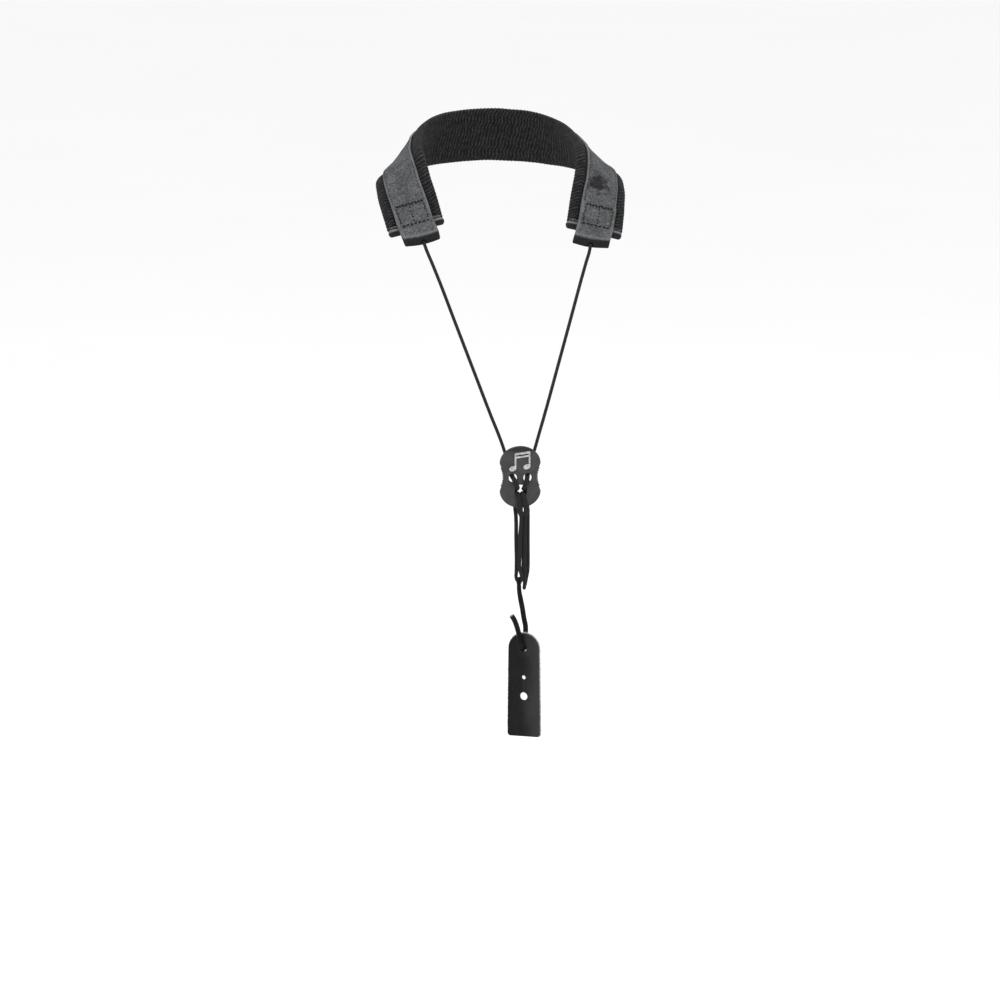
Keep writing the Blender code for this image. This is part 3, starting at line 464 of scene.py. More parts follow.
class Shader:
    """A material and a short way to add nodes to it."""

    def __init__(self, name, roughness, specular=0.5):
        self.material = bpy.data.materials.new(name)
        self.material.use_nodes = True
        self.nodes = self.material.node_tree.nodes
        self.surface = self.nodes["Principled BSDF"]
        self.surface.inputs["Roughness"].default_value = roughness
        self.surface.inputs["Specular IOR Level"].default_value = specular

    def put(self, socket, value):
        """Sets a socket, from a number, a colour or another node's socket."""
        if isinstance(value, bpy.types.NodeSocket):
            self.material.node_tree.links.new(value, socket)
        else:
            socket.default_value = value

    def math(self, operation, a, b=0.0, c=0.0):
        """The result of a sum on numbers or sockets."""
        node = self.nodes.new("ShaderNodeMath")
        node.operation = operation
        for socket, value in zip(node.inputs, (a, b, c)):
            self.put(socket, value)
        return node.outputs[0]

    def times(self, a, b, plus=0.0):
        """The result of a * b + plus on numbers or sockets."""
        return self.math("MULTIPLY_ADD", a, b, plus)

    def sum_of_vectors(self, operation, a, b):
        """The number that an operation on a socket's vector and a fixed one gives."""
        node = self.nodes.new("ShaderNodeVectorMath")
        node.operation = operation
        self.put(node.inputs[0], a)
        node.inputs[1].default_value = b
        return node.outputs["Value"]

    def split(self, vector):
        """A vector's three numbers."""
        node = self.nodes.new("ShaderNodeSeparateXYZ")
        self.put(node.inputs[0], vector)
        return node.outputs

    def uv(self):
        """The piece's u and v."""
        u, v, _ = self.split(self.nodes.new("ShaderNodeUVMap").outputs[0])
        return u, v

    def place(self):
        """The point on the piece, in metres."""
        return self.nodes.new("ShaderNodeTexCoord").outputs["Object"]

    def noise(self, where, scale, detail=3.0, roughness=0.55):
        """Cloudy noise, from 0 to 1."""
        node = self.nodes.new("ShaderNodeTexNoise")
        self.put(node.inputs["Vector"], where)
        node.inputs["Scale"].default_value = scale
        node.inputs["Detail"].default_value = detail
        node.inputs["Roughness"].default_value = roughness
        return node.outputs["Fac"]

    def cells(self, where, scale):
        """The distance from the middle of the nearest of some irregular cells."""
        node = self.nodes.new("ShaderNodeTexVoronoi")
        self.put(node.inputs["Vector"], where)
        node.inputs["Scale"].default_value = scale
        return node.outputs["Distance"]

    def wave(self, phase):
        """A wave between 0 and 1, with one turn to each whole number of phase."""
        turned = self.math("SINE", self.times(phase, 2 * pi))
        return self.times(turned, 0.5, 0.5)

    def span(self, value, low, high, to_low=0.0, to_high=1.0):
        """A value's smooth rise from low to high, as to_low to to_high."""
        node = self.nodes.new("ShaderNodeMapRange")
        node.interpolation_type = "SMOOTHSTEP"
        self.put(node.inputs["Value"], value)
        for socket, number in zip(list(node.inputs)[1:5], (low, high, to_low, to_high)):
            socket.default_value = number
        return node.outputs[0]

    def mix(self, share, a, b):
        """A colour between two colours."""
        node = self.nodes.new("ShaderNodeMix")
        node.data_type = "RGBA"
        self.put(node.inputs["Factor"], share)
        for socket, value in ((node.inputs[6], a), (node.inputs[7], b)):
            self.put(socket, value if isinstance(value, bpy.types.NodeSocket) else grey(value))
        return node.outputs[2]

    def finish(self, colour, height=None, distance=0.0001, strength=1.0):
        """Connects the colour and, if there is one, the height of the relief."""
        self.put(self.surface.inputs["Base Color"], colour)
        if height is not None:
            bump = self.nodes.new("ShaderNodeBump")
            bump.inputs["Strength"].default_value = strength
            bump.inputs["Distance"].default_value = distance
            self.put(bump.inputs["Height"], height)
            self.put(self.surface.inputs["Normal"], bump.outputs[0])
        return self.material


def grey(value):
    """A colour from one number or from three."""
    return (value, value, value, 1.0) if isinstance(value, (int, float)) else (*value, 1.0)


def sheen(shader, weight, roughness=0.5):
    """The soft light that loose fibres catch."""
    shader.surface.inputs["Sheen Weight"].default_value = weight
    shader.surface.inputs["Sheen Roughness"].default_value = roughness


def webbing_material(length):
    """Grey twill webbing: flecked, with slanting ridges, smooth selvedges and a worn patch, with painted
    shade on the loops' noses and a painted highlight along the ridges above them.
    """
    m = Shader("grey_twill_webbing", 0.9, 0.1)
    u, v = m.uv()
    where = m.place()
    slant = m.times(v, 0.9, u)
    ridge = m.wave(m.times(slant, 1 / 1.5))
    thread = m.wave(m.times(m.times(v, -1.6, u), 1 / 0.55))
    height = m.math("ADD", ridge, m.times(thread, 0.45))
    fleck = m.span(m.noise(where, 700.0, 5.0, 0.8), 0.38, 0.62)
    cloud = m.noise(where, 90.0, 4.0, 0.6)
    blotch = m.noise(where, 260.0, 4.0, 0.7)
    shade = m.times(fleck, 0.62, m.times(height, 0.24))
    base = m.mix(shade, (0.018, 0.0185, 0.0195), (0.138, 0.142, 0.149))
    edge = m.span(m.math("ABSOLUTE", v), 10.6, 12.0)
    base = m.mix(m.times(edge, 0.5), base, (0.15, 0.154, 0.16))
    worn = m.span(cloud, 0.46, 0.68)
    base = m.mix(m.times(worn, 0.35), base, (0.018, 0.018, 0.019))
    from_patch = m.sum_of_vectors("DISTANCE", where, collar_point(from_end(1, 0.049), -0.003, MAIN_N))
    uneven = m.times(blotch, 0.022, from_patch)
    near = m.times(m.span(uneven, 0.0155, 0.0205, 1.0, 0.0), m.times(fleck, -0.22, 1.0))
    base = m.mix(near, base, (0.01, 0.01, 0.0105))
    along_strip = m.math("MINIMUM", u, m.math("SUBTRACT", length / MM, u))
    # painted highlight: the band named crease is the ridge along the top of each loop, painted paler where
    # the light falls on it
    crease = m.times(m.span(along_strip, 25.2, 26.2), m.span(along_strip, 26.6, 27.6, 1.0, 0.0))
    base = m.mix(m.times(crease, 0.35), base, (0.17, 0.174, 0.18))
    # painted shade: the loops' noses, turned down away from the light, are painted nearly black
    nose_painted_shade = m.times(m.span(along_strip, 27.0, 28.2), m.span(along_strip, 37.0, 44.0, 1.0, 0.0))
    base = m.mix(m.times(nose_painted_shade, 0.93), base, (0.01, 0.01, 0.0105))
    return m.finish(base, height, 0.00022, 0.9)


def knit_material():
    """Black ribbed knit: the crests of the ribs are greyer, with small slanting stitches in them."""
    m = Shader("black_rib_knit", 0.95, 0.06)
    sheen(m, 0.04)
    u, v = m.uv()
    where = m.place()
    crest = m.math("ABSOLUTE", m.math("SINE", m.times(u, pi * MM / RIB_PITCH)))
    loops = m.wave(m.times(crest, 0.7, m.times(v, 1 / 1.1)))
    fleck = m.noise(where, 800.0, 4.0, 0.7)
    patchy = m.span(m.noise(where, 300.0, 3.0), 0.35, 0.65, 0.45, 1.0)
    shade = m.times(m.math("POWER", crest, 1.5), m.times(loops, 0.55, 0.3))
    shade = m.times(shade, patchy, m.times(fleck, 1.0, -0.5))
    base = m.mix(shade, (0.0035, 0.0035, 0.004), (0.046, 0.047, 0.048))
    height = m.times(loops, 0.7, fleck)
    return m.finish(base, height, 0.00022, 0.9)


def hem_material():
    """The hem's smoother knit, stretched over its roll, with a painted highlight that makes the top of the
    roll paler.
    """
    m = Shader("black_hem_knit", 0.9, 0.08)
    sheen(m, 0.04)
    u, v = m.uv()
    where = m.place()
    loops = m.wave(m.times(u, 0.25, v))
    fleck = m.noise(where, 900.0, 3.0)
    shade = m.times(loops, 0.35, m.times(fleck, 0.5, -0.1))
    base = m.mix(shade, (0.005, 0.005, 0.0055), (0.034, 0.035, 0.036))
    # painted highlight: the top side of the roll is painted paler, where the light falls on it
    upper_painted_highlight = m.span(m.math("ABSOLUTE", m.math("SUBTRACT", u, 3.7)), 0.6, 1.3, 1.0, 0.0)
    base = m.mix(m.times(upper_painted_highlight, m.times(fleck, 0.5, 0.45)), base, (0.15, 0.153, 0.158))
    return m.finish(base, m.math("ADD", loops, fleck), 0.00012, 0.8)


def seam_material():
    """The grey edge of the binding above the hem."""
    m = Shader("grey_seam_edge", 0.9, 0.12)
    fleck = m.noise(m.place(), 900.0, 3.0)
    base = m.mix(m.span(fleck, 0.35, 0.65), (0.016, 0.016, 0.017), (0.105, 0.107, 0.112))
    return m.finish(base, fleck, 0.0001, 0.7)


def cord_material():
    """Black braid: two sets of yarns that cross, a little greyer where they come to the surface."""
    m = Shader("black_braided_cord", 0.75, 0.12)
    sheen(m, 0.03)
    u, v = m.uv()
    along = m.times(v, 1 / 2.6)
    first = m.wave(m.times(u, 6.0, along))
    second = m.wave(m.times(u, -6.0, along))
    weave = m.times(first, second)
    fleck = m.noise(m.place(), 1800.0, 2.0)
    shade = m.times(weave, 0.9, m.times(fleck, 0.4, -0.2))
    base = m.mix(shade, (0.0035, 0.0035, 0.004), (0.04, 0.04, 0.042))
    return m.finish(base, weave, 0.00016, 1.0)


def thread_material():
    """Dark sewing thread."""
    m = Shader("dark_thread", 0.8, 0.12)
    twist = m.wave(m.times(m.noise(m.place(), 2500.0), 3.0))
    return m.finish(m.mix(twist, (0.003, 0.003, 0.0035), (0.012, 0.012, 0.0125)), twist, 0.00005, 0.6)


def plastic_material():
    """Grey moulded plastic with a fine spark-eroded texture, worn places, and a band of painted shade along
    its top.
    """
    m = Shader("grey_moulded_plastic", 0.5, 0.25)
    where = m.place()
    grain = m.noise(where, 2600.0, 2.0)
    cloud = m.noise(where, 180.0, 3.0)
    base = m.mix(m.span(cloud, 0.35, 0.7), (0.026, 0.0267, 0.0275), (0.037, 0.038, 0.039))
    # painted shade: the plate's top edge, above 18 mm from its middle, is painted nearly black
    top_band_painted_shade = m.span(m.split(where)[2], SLIDER.z + 0.018, SLIDER.z + 0.019)
    base = m.mix(m.times(top_band_painted_shade, 0.95), base, (0.009, 0.009, 0.0095))
    m.put(m.surface.inputs["Roughness"], m.times(cloud, 0.22, 0.38))
    return m.finish(base, grain, 0.00004, 0.6)


def emblem_material():
    """Silver, lightly brushed and a little uneven."""
    m = Shader("silver_mark", 0.38, 0.5)
    m.surface.inputs["Metallic"].default_value = 0.6
    brushed = m.noise(m.place(), 700.0, 3.0, 0.65)
    base = m.mix(m.span(brushed, 0.35, 0.65), (0.24, 0.24, 0.245), (0.5, 0.5, 0.51))
    return m.finish(base, brushed, 0.00003, 0.6)


def leather_material():
    """Smooth black leather: fine grain, shallow creases, a cloudy tone, and a painted reflection that makes
    it paler towards the tab's right side.
    """
    m = Shader("black_leather", 0.45, 0.12)
    where = m.place()
    grain = m.cells(where, 1500.0)
    crease = m.noise(where, 260.0, 4.0, 0.65)
    bloom = m.span(m.noise(where, 70.0, 3.0), 0.35, 0.75)
    height = m.times(crease, 0.8, grain)
    # painted reflection: the tab is painted paler across towards its right side, where the light's reflection
    # would brighten it
    across = Vector((cos(TAB_TURN), sin(TAB_TURN), 0.0))
    middle = TAB_ORIGIN.dot(across)
    place_across = m.times(bloom, 0.004, m.sum_of_vectors("DOT_PRODUCT", where, across))
    painted_reflection = m.span(place_across, middle - 0.002, middle + 0.014)
    base = m.mix(bloom, (0.0022, 0.0023, 0.0021), (0.0048, 0.005, 0.0047))
    base = m.mix(m.times(painted_reflection, 0.8), base, (0.0285, 0.0295, 0.029))
    scuff = m.span(m.noise(where, 520.0, 5.0, 0.75), 0.6, 0.72)
    base = m.mix(m.times(scuff, 0.25), base, (0.06, 0.061, 0.06))
    base = m.mix(m.span(grain, 0.25, 0.6, 0.15, 0.0), base, (0.03, 0.031, 0.03))
    m.put(m.surface.inputs["Roughness"], m.times(crease, 0.3, 0.32))
    return m.finish(base, height, 0.0001, 0.55)


def lace_material():
    """Black leather cord, cracked along its length, with dull grey places where it is worn."""
    m = Shader("black_leather_lace", 0.4, 0.08)
    where = m.place()
    crack = m.noise(where, 700.0, 4.0, 0.7)
    cloud = m.noise(where, 160.0, 2.0)
    base = m.mix(m.span(cloud, 0.35, 0.7), 0.002, (0.0065, 0.0065, 0.0063))
    scuff = m.span(crack, 0.56, 0.7)
    base = m.mix(m.times(scuff, 0.25), base, (0.045, 0.045, 0.044))
    m.put(m.surface.inputs["Roughness"], m.times(cloud, 0.3, 0.32))
    return m.finish(base, crack, 0.00012, 0.6)


def cut_material():
    """The lace's bare fibres where it is cut."""
    m = Shader("cut_leather", 0.95, 0.2)
    fibre = m.noise(m.place(), 1600.0, 3.0)
    return m.finish(m.mix(fibre, (0.08, 0.078, 0.074), (0.26, 0.25, 0.24)), fibre, 0.0002, 1.0)


def suede_material():
    """Light grey suede with a short nap."""
    m = Shader("grey_suede", 0.95, 0.15)
    sheen(m, 0.4, 0.6)
    where = m.place()
    nap = m.noise(where, 1100.0, 4.0, 0.7)
    cloud = m.noise(where, 120.0, 2.0)
    shade = m.times(nap, 0.6, m.times(cloud, 0.4))
    return m.finish(m.mix(shade, (0.16, 0.155, 0.15), (0.46, 0.45, 0.44)), nap, 0.00025, 1.0)


def eyelet_material():
    """The dark thread that a buttonhole stitch lays round the cord's hole, also used for the disc of painted
    shade in that hole.
    """
    m = Shader("dark_eyelet_thread", 0.9, 0.05)
    u, _ = m.uv()
    ply = m.wave(u)
    return m.finish(m.mix(ply, 0.002, (0.01, 0.01, 0.0105)), ply, 0.0001, 0.8)


# ---------- the collar ----------


def pad_section(count):
    """The pad's outline as (w, n) points: flat inside, crowned, and drawn in along the webbing's seams."""
    points = []
    for k in range(count):
        a = 2 * pi * k / count
        c, s = cos(a), sin(a)
        w = PAD_HALF_WIDTH * copysign(abs(c) ** 0.62, c)
        n = PAD_THICKNESS / 2 * (1 + copysign(abs(s) ** 0.62, s))
        if s > 0:
            n += 0.0009 * hump(abs(w), CROWN_W, CROWN_WIDTH)
            n -= 0.0011 * hump(abs(w), GROOVE_W, GROOVE_WIDTH)
        points.append((w, n))
    return points


def rib_phase(s, w):
    """The length that the ribs are counted by: they lean, wave, and wander a little."""
    wander = noise.noise(Vector((s / 0.005, w / 0.006, 1.7))) * 0.0007
    return s + RIB_SLANT * w + 0.0006 * sin(2 * pi * w / 0.009) + wander


def rib_height(phase):
    """The knit's relief, from 0 in a groove to 1 on a rib."""
    return abs(sin(pi * phase / RIB_PITCH)) ** 0.7


def make_pad(material):
    """The knit tube over its foam, with ribs across it that scallop its edges."""
    section = pad_section(72)
    middle_n = PAD_THICKNESS / 2
    start, end = from_end(-1, PAD_SHORT_OF_END), from_end(1, PAD_SHORT_OF_END)
    count = round((end - start) / (RIB_PITCH / 6))
    girth = [0.0]
    for a, b in zip(section, section[1:] + section[:1]):
        girth.append(girth[-1] + hypot(b[0] - a[0], b[1] - a[1]))
    rings, uvs = [], []
    for i in range(count + 1):
        s = start + (end - start) * i / count
        point, _, across, out = collar_frame(s)
        from_tip = min(s - start, end - s)
        close = 1.0 if from_tip > 0.003 else 0.72 + 0.28 * sqrt(from_tip / 0.003)
        ring = []
        for w, n in section:
            inward = Vector((-w / PAD_HALF_WIDTH * 0.6, (middle_n - n) / middle_n)).normalized()
            depth = RIB_DEPTH * (1 - rib_height(rib_phase(s, w)))
            place = point + across * (w + inward.x * depth)
            place += out * (middle_n + (n + inward.y * depth - middle_n) * close)
            ring.append(place + rough(place, 0.012, 0.00025))
        rings.append(ring)
        phases = [rib_phase(s, w) / MM for w, _ in section]
        uvs.append([(phase, length / MM) for phase, length in zip(phases + phases[:1], girth)])
    pad = new_piece("neck_pad", grid_mesh("neck_pad", rings, uvs, capped=True), material, "collar")
    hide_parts("neck_pad_cover", "neck_pad_core")


def make_hem(name, side, material, seam):
    """The fat roll that closes one end of the cover, and the binding's edge on it."""
    point, along, across, out = collar_frame(from_end(side, HEM_INSIDE_END))
    leave = along * side
    rings, uvs = [], []
    count, sides = 90, 20
    for i in range(count + 1):
        w = PAD_HALF_WIDTH * (2 * i / count - 1) * 0.995
        near_tip = (PAD_HALF_WIDTH - abs(w)) / HEM_TIP
        grow = 1.0 if near_tip >= 1 else sqrt(max(0.06, 1 - (1 - near_tip) ** 2))
        beside = hump(abs(w), CROWN_W, CROWN_WIDTH)
        ring = []
        for j in range(sides):
            a = 2 * pi * j / sides
            knit = 1 - 0.05 * abs(sin(pi * w / 0.0011))
            reach = HEM_HALF_LENGTH * grow * knit
            tall = (HEM_HALF_HEIGHT + 0.0006 * beside) * grow * knit
            place = point + across * w + leave * cos(a) * reach
            place += out * (PAD_THICKNESS / 2 + 0.0003 * beside + sin(a) * tall)
            ring.append(place + rough(place, 0.007, 0.0003, 5.0))
        rings.append(ring)
        uvs.append([(12 * j / sides, w / MM) for j in range(sides + 1)])
    hem = new_piece(name, grid_mesh(name, rings, uvs, capped=True), material, "collar")
    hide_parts(name)
    edge = from_end(side, PAD_SHORT_OF_END + 0.0004)
    path = []
    for i in range(61):
        w = (PAD_HALF_WIDTH - 0.0012) * (2 * i / 60 - 1)
        beside = hump(abs(w), CROWN_W, CROWN_WIDTH)
        n = PAD_THICKNESS - 0.0002 + 0.0008 * beside - 0.0008 * (abs(w) / PAD_HALF_WIDTH) ** 6
        place = collar_point(edge, w, n)
        path.append(place + rough(place, 0.003, 0.00025, 9.0))
    binding = tube_mesh(name + "_binding", path, BINDING_RADIUS, 8, 0.001)
    new_piece(name + "_binding", binding, seam, "collar")


def webbing_path():
    """The webbing's middle line as (s, n, 0), from fold to fold, with a slanting face at each end."""
    end_face = [
        (0.022, MAIN_N), (0.014, 0.0069), (0.0105, 0.00655), (0.0075, 0.00615),
        (0.0045, 0.00585), (0.0022, 0.00575), (0.0008, 0.0061), (0.0004, 0.0069),
        (0.0012, 0.008), (0.0024, 0.0092), (0.0036, 0.01015), (0.0046, 0.01045),
        (0.0062, 0.0102), (0.009, 0.0095), (0.012, 0.009), (0.015, FOLD_N),
        (0.022, FOLD_N), (0.028, FOLD_N), (FOLD_LENGTH, FOLD_N - 0.0001),
    ]
    body = [(d, MAIN_N) for d in (WEBBING_HALF_LENGTH, 0.15, 0.12, 0.09, 0.06, 0.04)]

    def half(side):
        return [Vector((COLLAR_SLIP + side * (WEBBING_HALF_LENGTH - d), n, 0.0)) for d, n in body + end_face]

    return half(-1)[:0:-1] + half(1)


def nose_bulge(side, inside, w):
    """How far a loop's middle stands out, where the cord pulls it, and how far its edges lie back."""
    _, along, _, out = collar_frame(from_end(side, 0.0))
    share = w / WEBBING_HALF_WIDTH
    near_end = ramp(-inside, -0.013, 0.011)
    return (along * side * 0.0017 * (1 - share**2) - out * 0.0007 * share**4) * near_end


def make_webbing():
    """One long strip, laid on the pad and folded back over itself at both ends, where each fold is a loop."""
    line = even_points(webbing_path(), 0.0009)
    lengths = lengths_along(line)
    material = webbing_material(lengths[-1])
    half = WEBBING_THICKNESS / 2
    top = [(WEBBING_HALF_WIDTH * (2 * k / 16 - 1), half) for k in range(17)]
    edge = WEBBING_HALF_WIDTH + half * 0.7
    section = [*top, (edge, 0.0), *[(w, -half) for w, _ in top[::-1]], (-edge, 0.0)]
    rings, uvs = [], []
    for i, (place, length) in enumerate(zip(line, lengths)):
        before, after = line[max(0, i - 1)], line[min(len(line) - 1, i + 1)]
        point, along, across, out = collar_frame(place.x)
        way = along * (after.x - before.x) + out * (after.y - before.y)
        way.normalize()
        up = way.cross(across)
        middle = point + out * place.y
        side = copysign(1, place.x - COLLAR_SLIP)
        inside = WEBBING_HALF_LENGTH - abs(place.x - COLLAR_SLIP)
        ring = []
        for w, lift in section:
            roll = 0.00018 * hump(abs(w), SELVEDGE_W, SELVEDGE_WIDTH)
            spot = middle + across * w + up * (lift + copysign(roll, lift))
            spot += nose_bulge(side, inside, w)
            ring.append(spot + rough(spot, 0.01, 0.00022, 3.0))
        rings.append(ring)
        uvs.append([(length / MM, section[j % len(section)][0] / MM) for j in range(len(section) + 1)])
    mesh = grid_mesh("webbing", rings, uvs, capped=True)
    webbing = new_piece("webbing", mesh, material, "collar")
    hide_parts("webbing_main", "webbing_fold_left", "webbing_fold_right",
                "end_loop_left", "end_loop_right")


def stitch(side, start, end, n, height, radius):
    """One stitch that dips into the cloth at both ends. Each is given as (length inside the end, w)."""
    a, b = [collar_point(from_end(side, length), w, n) for length, w in (start, end)]
    rise = collar_frame(from_end(side, (start[0] + end[0]) / 2))[3] * height
    middle = (a + b) / 2 + rise
    shoulders = [p.lerp(middle, 0.55) + rise * 0.3 for p in (a, b)]
    line = even_points([a, shoulders[0], middle, shoulders[1], b], (b - a).length / 6)
    return tube_mesh("stitch", line, radius, 6, 0.0002)


def make_stitches(material):
    """The rows that hold the folded ends, and those along the webbing's edges."""
    pick = random.Random(4)
    on_fold = FOLD_N + WEBBING_THICKNESS / 2
    on_main = MAIN_N + WEBBING_THICKNESS / 2
    parts = []
    for side in (-1, 1):
        for length, pitch, swing in FOLD_ROWS:
            count = round(ROW_WIDTH / pitch)
            for k in range(count):
                w = -ROW_WIDTH / 2 + ROW_WIDTH * (k + 0.5) / count
                turn = swing * (1 if k % 2 else -1) + pick.uniform(-0.0002, 0.0002)
                reach = pitch * pick.uniform(0.24, 0.34)
                start, end = (length + turn, w - reach), (length - turn, w + reach)
                parts.append(stitch(side, start, end, on_fold, 0.0005, 0.00056))
        for w, count, reach in FOLD_COLUMNS:
            for k in range(count):
                length = 0.016 + 0.0125 * (k + 0.5) / count + pick.uniform(-0.0004, 0.0004)
                aside = w + pick.uniform(-0.0003, 0.0003)
                start, end = (length - reach, aside), (length + reach, aside + 0.0002)
                parts.append(stitch(side, start, end, on_fold - 0.0002, 0.0004, 0.00042))
        for edge in (-1, 1):
            for k in range(EDGE_STITCHES):
                length = 0.034 + EDGE_PITCH * k
                w = edge * (0.0113 + pick.uniform(-0.0002, 0.0002))
                start, end = (length - 0.0006, w), (length + 0.0006, w)
                parts.append(stitch(side, start, end, on_main - 0.00005, 0.00026, 0.00024))
    new_piece("stitching", joined("stitching", parts), material, "collar")


def make_eyelet(name, side, material):
    """A buttonhole stitch round the hole, in the loop's slanting face, that the cord comes out of, and a dark
    disc in the hole as painted shade.
    """
    _, along, across, out = collar_frame(from_end(side, 0.0))
    way = (along * side * 0.72 + out * 0.69).normalized()
    up = way.cross(across)
    middle = collar_point(from_end(side, 0.0012), 0.0, 0.008) + way * (WEBBING_THICKNESS / 2)
    middle += nose_bulge(side, 0.0012, 0.0)
    ring = round_line(middle, across * EYELET_RADIUS, up * (EYELET_RADIUS * 1.1), 48)
    parts = [tube_mesh("ring", ring, EYELET_TUBE_RADIUS, 10)]
    # painted shade: a short dark disc fills the hole, standing in for the shade inside it
    depths = [middle - way * 0.0004, middle, middle + way * 0.00012]
    parts.append(tube_mesh("hole", depths, EYELET_HOLE_RADIUS, 24))
    eyelet = new_piece(name + "_thread", joined(name + "_thread", parts), material, "collar")
    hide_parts(name)


# ---------- cords ----------


def make_neck_cord(side_name, side, material):
    """One of the two cords, from inside the webbing's loop to the back of the slider."""
    name = "neck_cord_" + side_name
    end, along, _, out = collar_frame(from_end(side, 0.0))
    way_out = [end + out * NOSE_N + along * side * z for z in (-0.0009, 0.0008, 0.0025, 0.005)]
    points = even_points(way_out + [Vector((side * x, y, z)) for x, y, z in NECK_CORD], 0.001)
    cord = new_piece(name, tube_mesh(name, points, CORD_RADIUS), material, None)
    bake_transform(cord)
    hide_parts("cord_" + side_name)


def slack_braid(point, offset):
    """The cord's offset from its middle line, wider where it is slack or pressed over the bridge."""
    # each ramp fades a region in or out: heights are from the slider's middle, and -y is towards the front
    x, y, z = point - SLIDER
    pressed = ramp(-y, 0.0022, 0.0012) * ramp(-z, 0.0135, 0.003)
    in_small_holes = ramp(-z, -0.006, 0.0025) * ramp(z, -0.0055, 0.0025)
    in_lower_hole = ramp(-z, 0.003, 0.0025) * ramp(z, -0.0165, 0.003) * (1 - pressed)
    in_strands = ramp(-z, 0.0215, 0.003) * ramp(z, -0.074, 0.008) * (1 - pressed)
    right = ramp(x, 0.0012, 0.0012)
    below_plate = ramp(-z, 0.02, 0.0015) * ramp(z, -0.0285, 0.0025)
    pressed = max(pressed, 0.8 * below_plate * ramp(-y, 0.0, 0.0012)) * (1 + 0.35 * below_plate)
    wide = 1 + 0.62 * pressed + 0.5 * in_small_holes + 0.35 * in_lower_hole
    wide += in_strands * (0.18 + 0.26 * right)
    return Vector((offset.x * wide, offset.y * (1 - 0.12 * pressed), offset.z))


def make_slider_cord(material):
    """The rest of the same cord: in through the slider, down and up in two bights, and over its bridge."""
    route = WEAVE_LEFT + STRAND_LEFT_BACK + BIGHT_LEFT + STRAND_LEFT_FRONT[::-1] + HITCH
    route += STRAND_RIGHT_FRONT + BIGHT_RIGHT + STRAND_RIGHT_BACK[::-1] + WEAVE_RIGHT[::-1]
    points = even_points(from_slider(route), 0.0006)
    name = "slider_cord"
    cord = new_piece(name, tube_mesh(name, points, CORD_RADIUS, press=slack_braid), material, None)
    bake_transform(cord)
    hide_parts("cord_weave_left", "cord_weave_right", "cord_hitch",
                "strand_left_back", "strand_left_front", "strand_right_front", "strand_right_back",
                "cord_bight_left", "cord_bight_right")


# ---------- slider ----------


def plate_half_width(z):
    """The figure of eight's half width at a height: two half ellipses and a soft waist between them."""
    share = abs(z) / LOBE_Z
    if share < 1:
        return WAIST_HALF_WIDTH + (LOBE_HALF_WIDTH - WAIST_HALF_WIDTH) * (1.5 * share**2 - 0.5 * share**4)
    rise = (abs(z) - LOBE_Z) / (PLATE_HALF_HEIGHT - LOBE_Z)
    return LOBE_HALF_WIDTH * sqrt(max(0.0, 1 - rise**2))


def plate_outline():
    """The plate's outline as (x, z) points."""
    reach = PLATE_HALF_HEIGHT - LOBE_Z
    top = [LOBE_Z + reach * sin(radians(a)) for a in range(90, 0, -4)]
    side = [LOBE_Z * (1 - k / 12) for k in range(25)]
    heights = [*top, *side, *[-z for z in top[::-1]]]
    left = [(-plate_half_width(z), z) for z in heights]
    return left + [(-x, z) for x, z in left[-2:0:-1]]


def lower_hole():
    """The rounded hole below the waist."""
    outline = []
    for c, s in circle(0, 0, 1, 48):
        x = LOWER_HOLE_HALF_WIDTH * copysign(abs(c) ** 0.7, c)
        z = LOWER_HOLE_HALF_HEIGHT * copysign(abs(s) ** 0.7, s)
        outline.append((LOWER_HOLE_X + x, LOWER_HOLE_Z + z))
    return outline


def make_slider(plastic, silver):
    """The moulded plate, with soft edges and ridges for the fingers, and the mark on it."""
    upper_holes = [circle(side * UPPER_HOLE_X, UPPER_HOLE_Z, UPPER_HOLE_RADIUS) for side in (-1, 1)]
    outlines = [plate_outline(), *upper_holes, lower_hole()]
    parts = [moulding("slider_moulding", outlines, PLATE_THICKNESS, PLATE_EDGE, upright(SLIDER))]
    for side in (-1, 1):
        for k in range(RIDGE_COUNT):
            z = (k - (RIDGE_COUNT - 1) / 2) * RIDGE_PITCH
            middle = SLIDER + Vector((side * (plate_half_width(z) + 0.0001), 0, z))
            reach = Vector((0, 0.42 * PLATE_THICKNESS, 0))
            ends = even_points([middle - reach, middle, middle + reach], 0.0003)
            parts.append(tube_mesh("ridge", ends, RIDGE_RADIUS, 12, 0.0006))
    plate = new_piece("slider_moulding", joined("slider_moulding", parts), plastic, "slider")
    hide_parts("slider_plate")
    recolour("slider_emblem", silver)


def recolour(name, material):
    """Gives a CAD node that stays in view its material."""
    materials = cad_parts[name].data.materials
    materials.clear()
    materials.append(material)


# ---------- tab and lace ----------


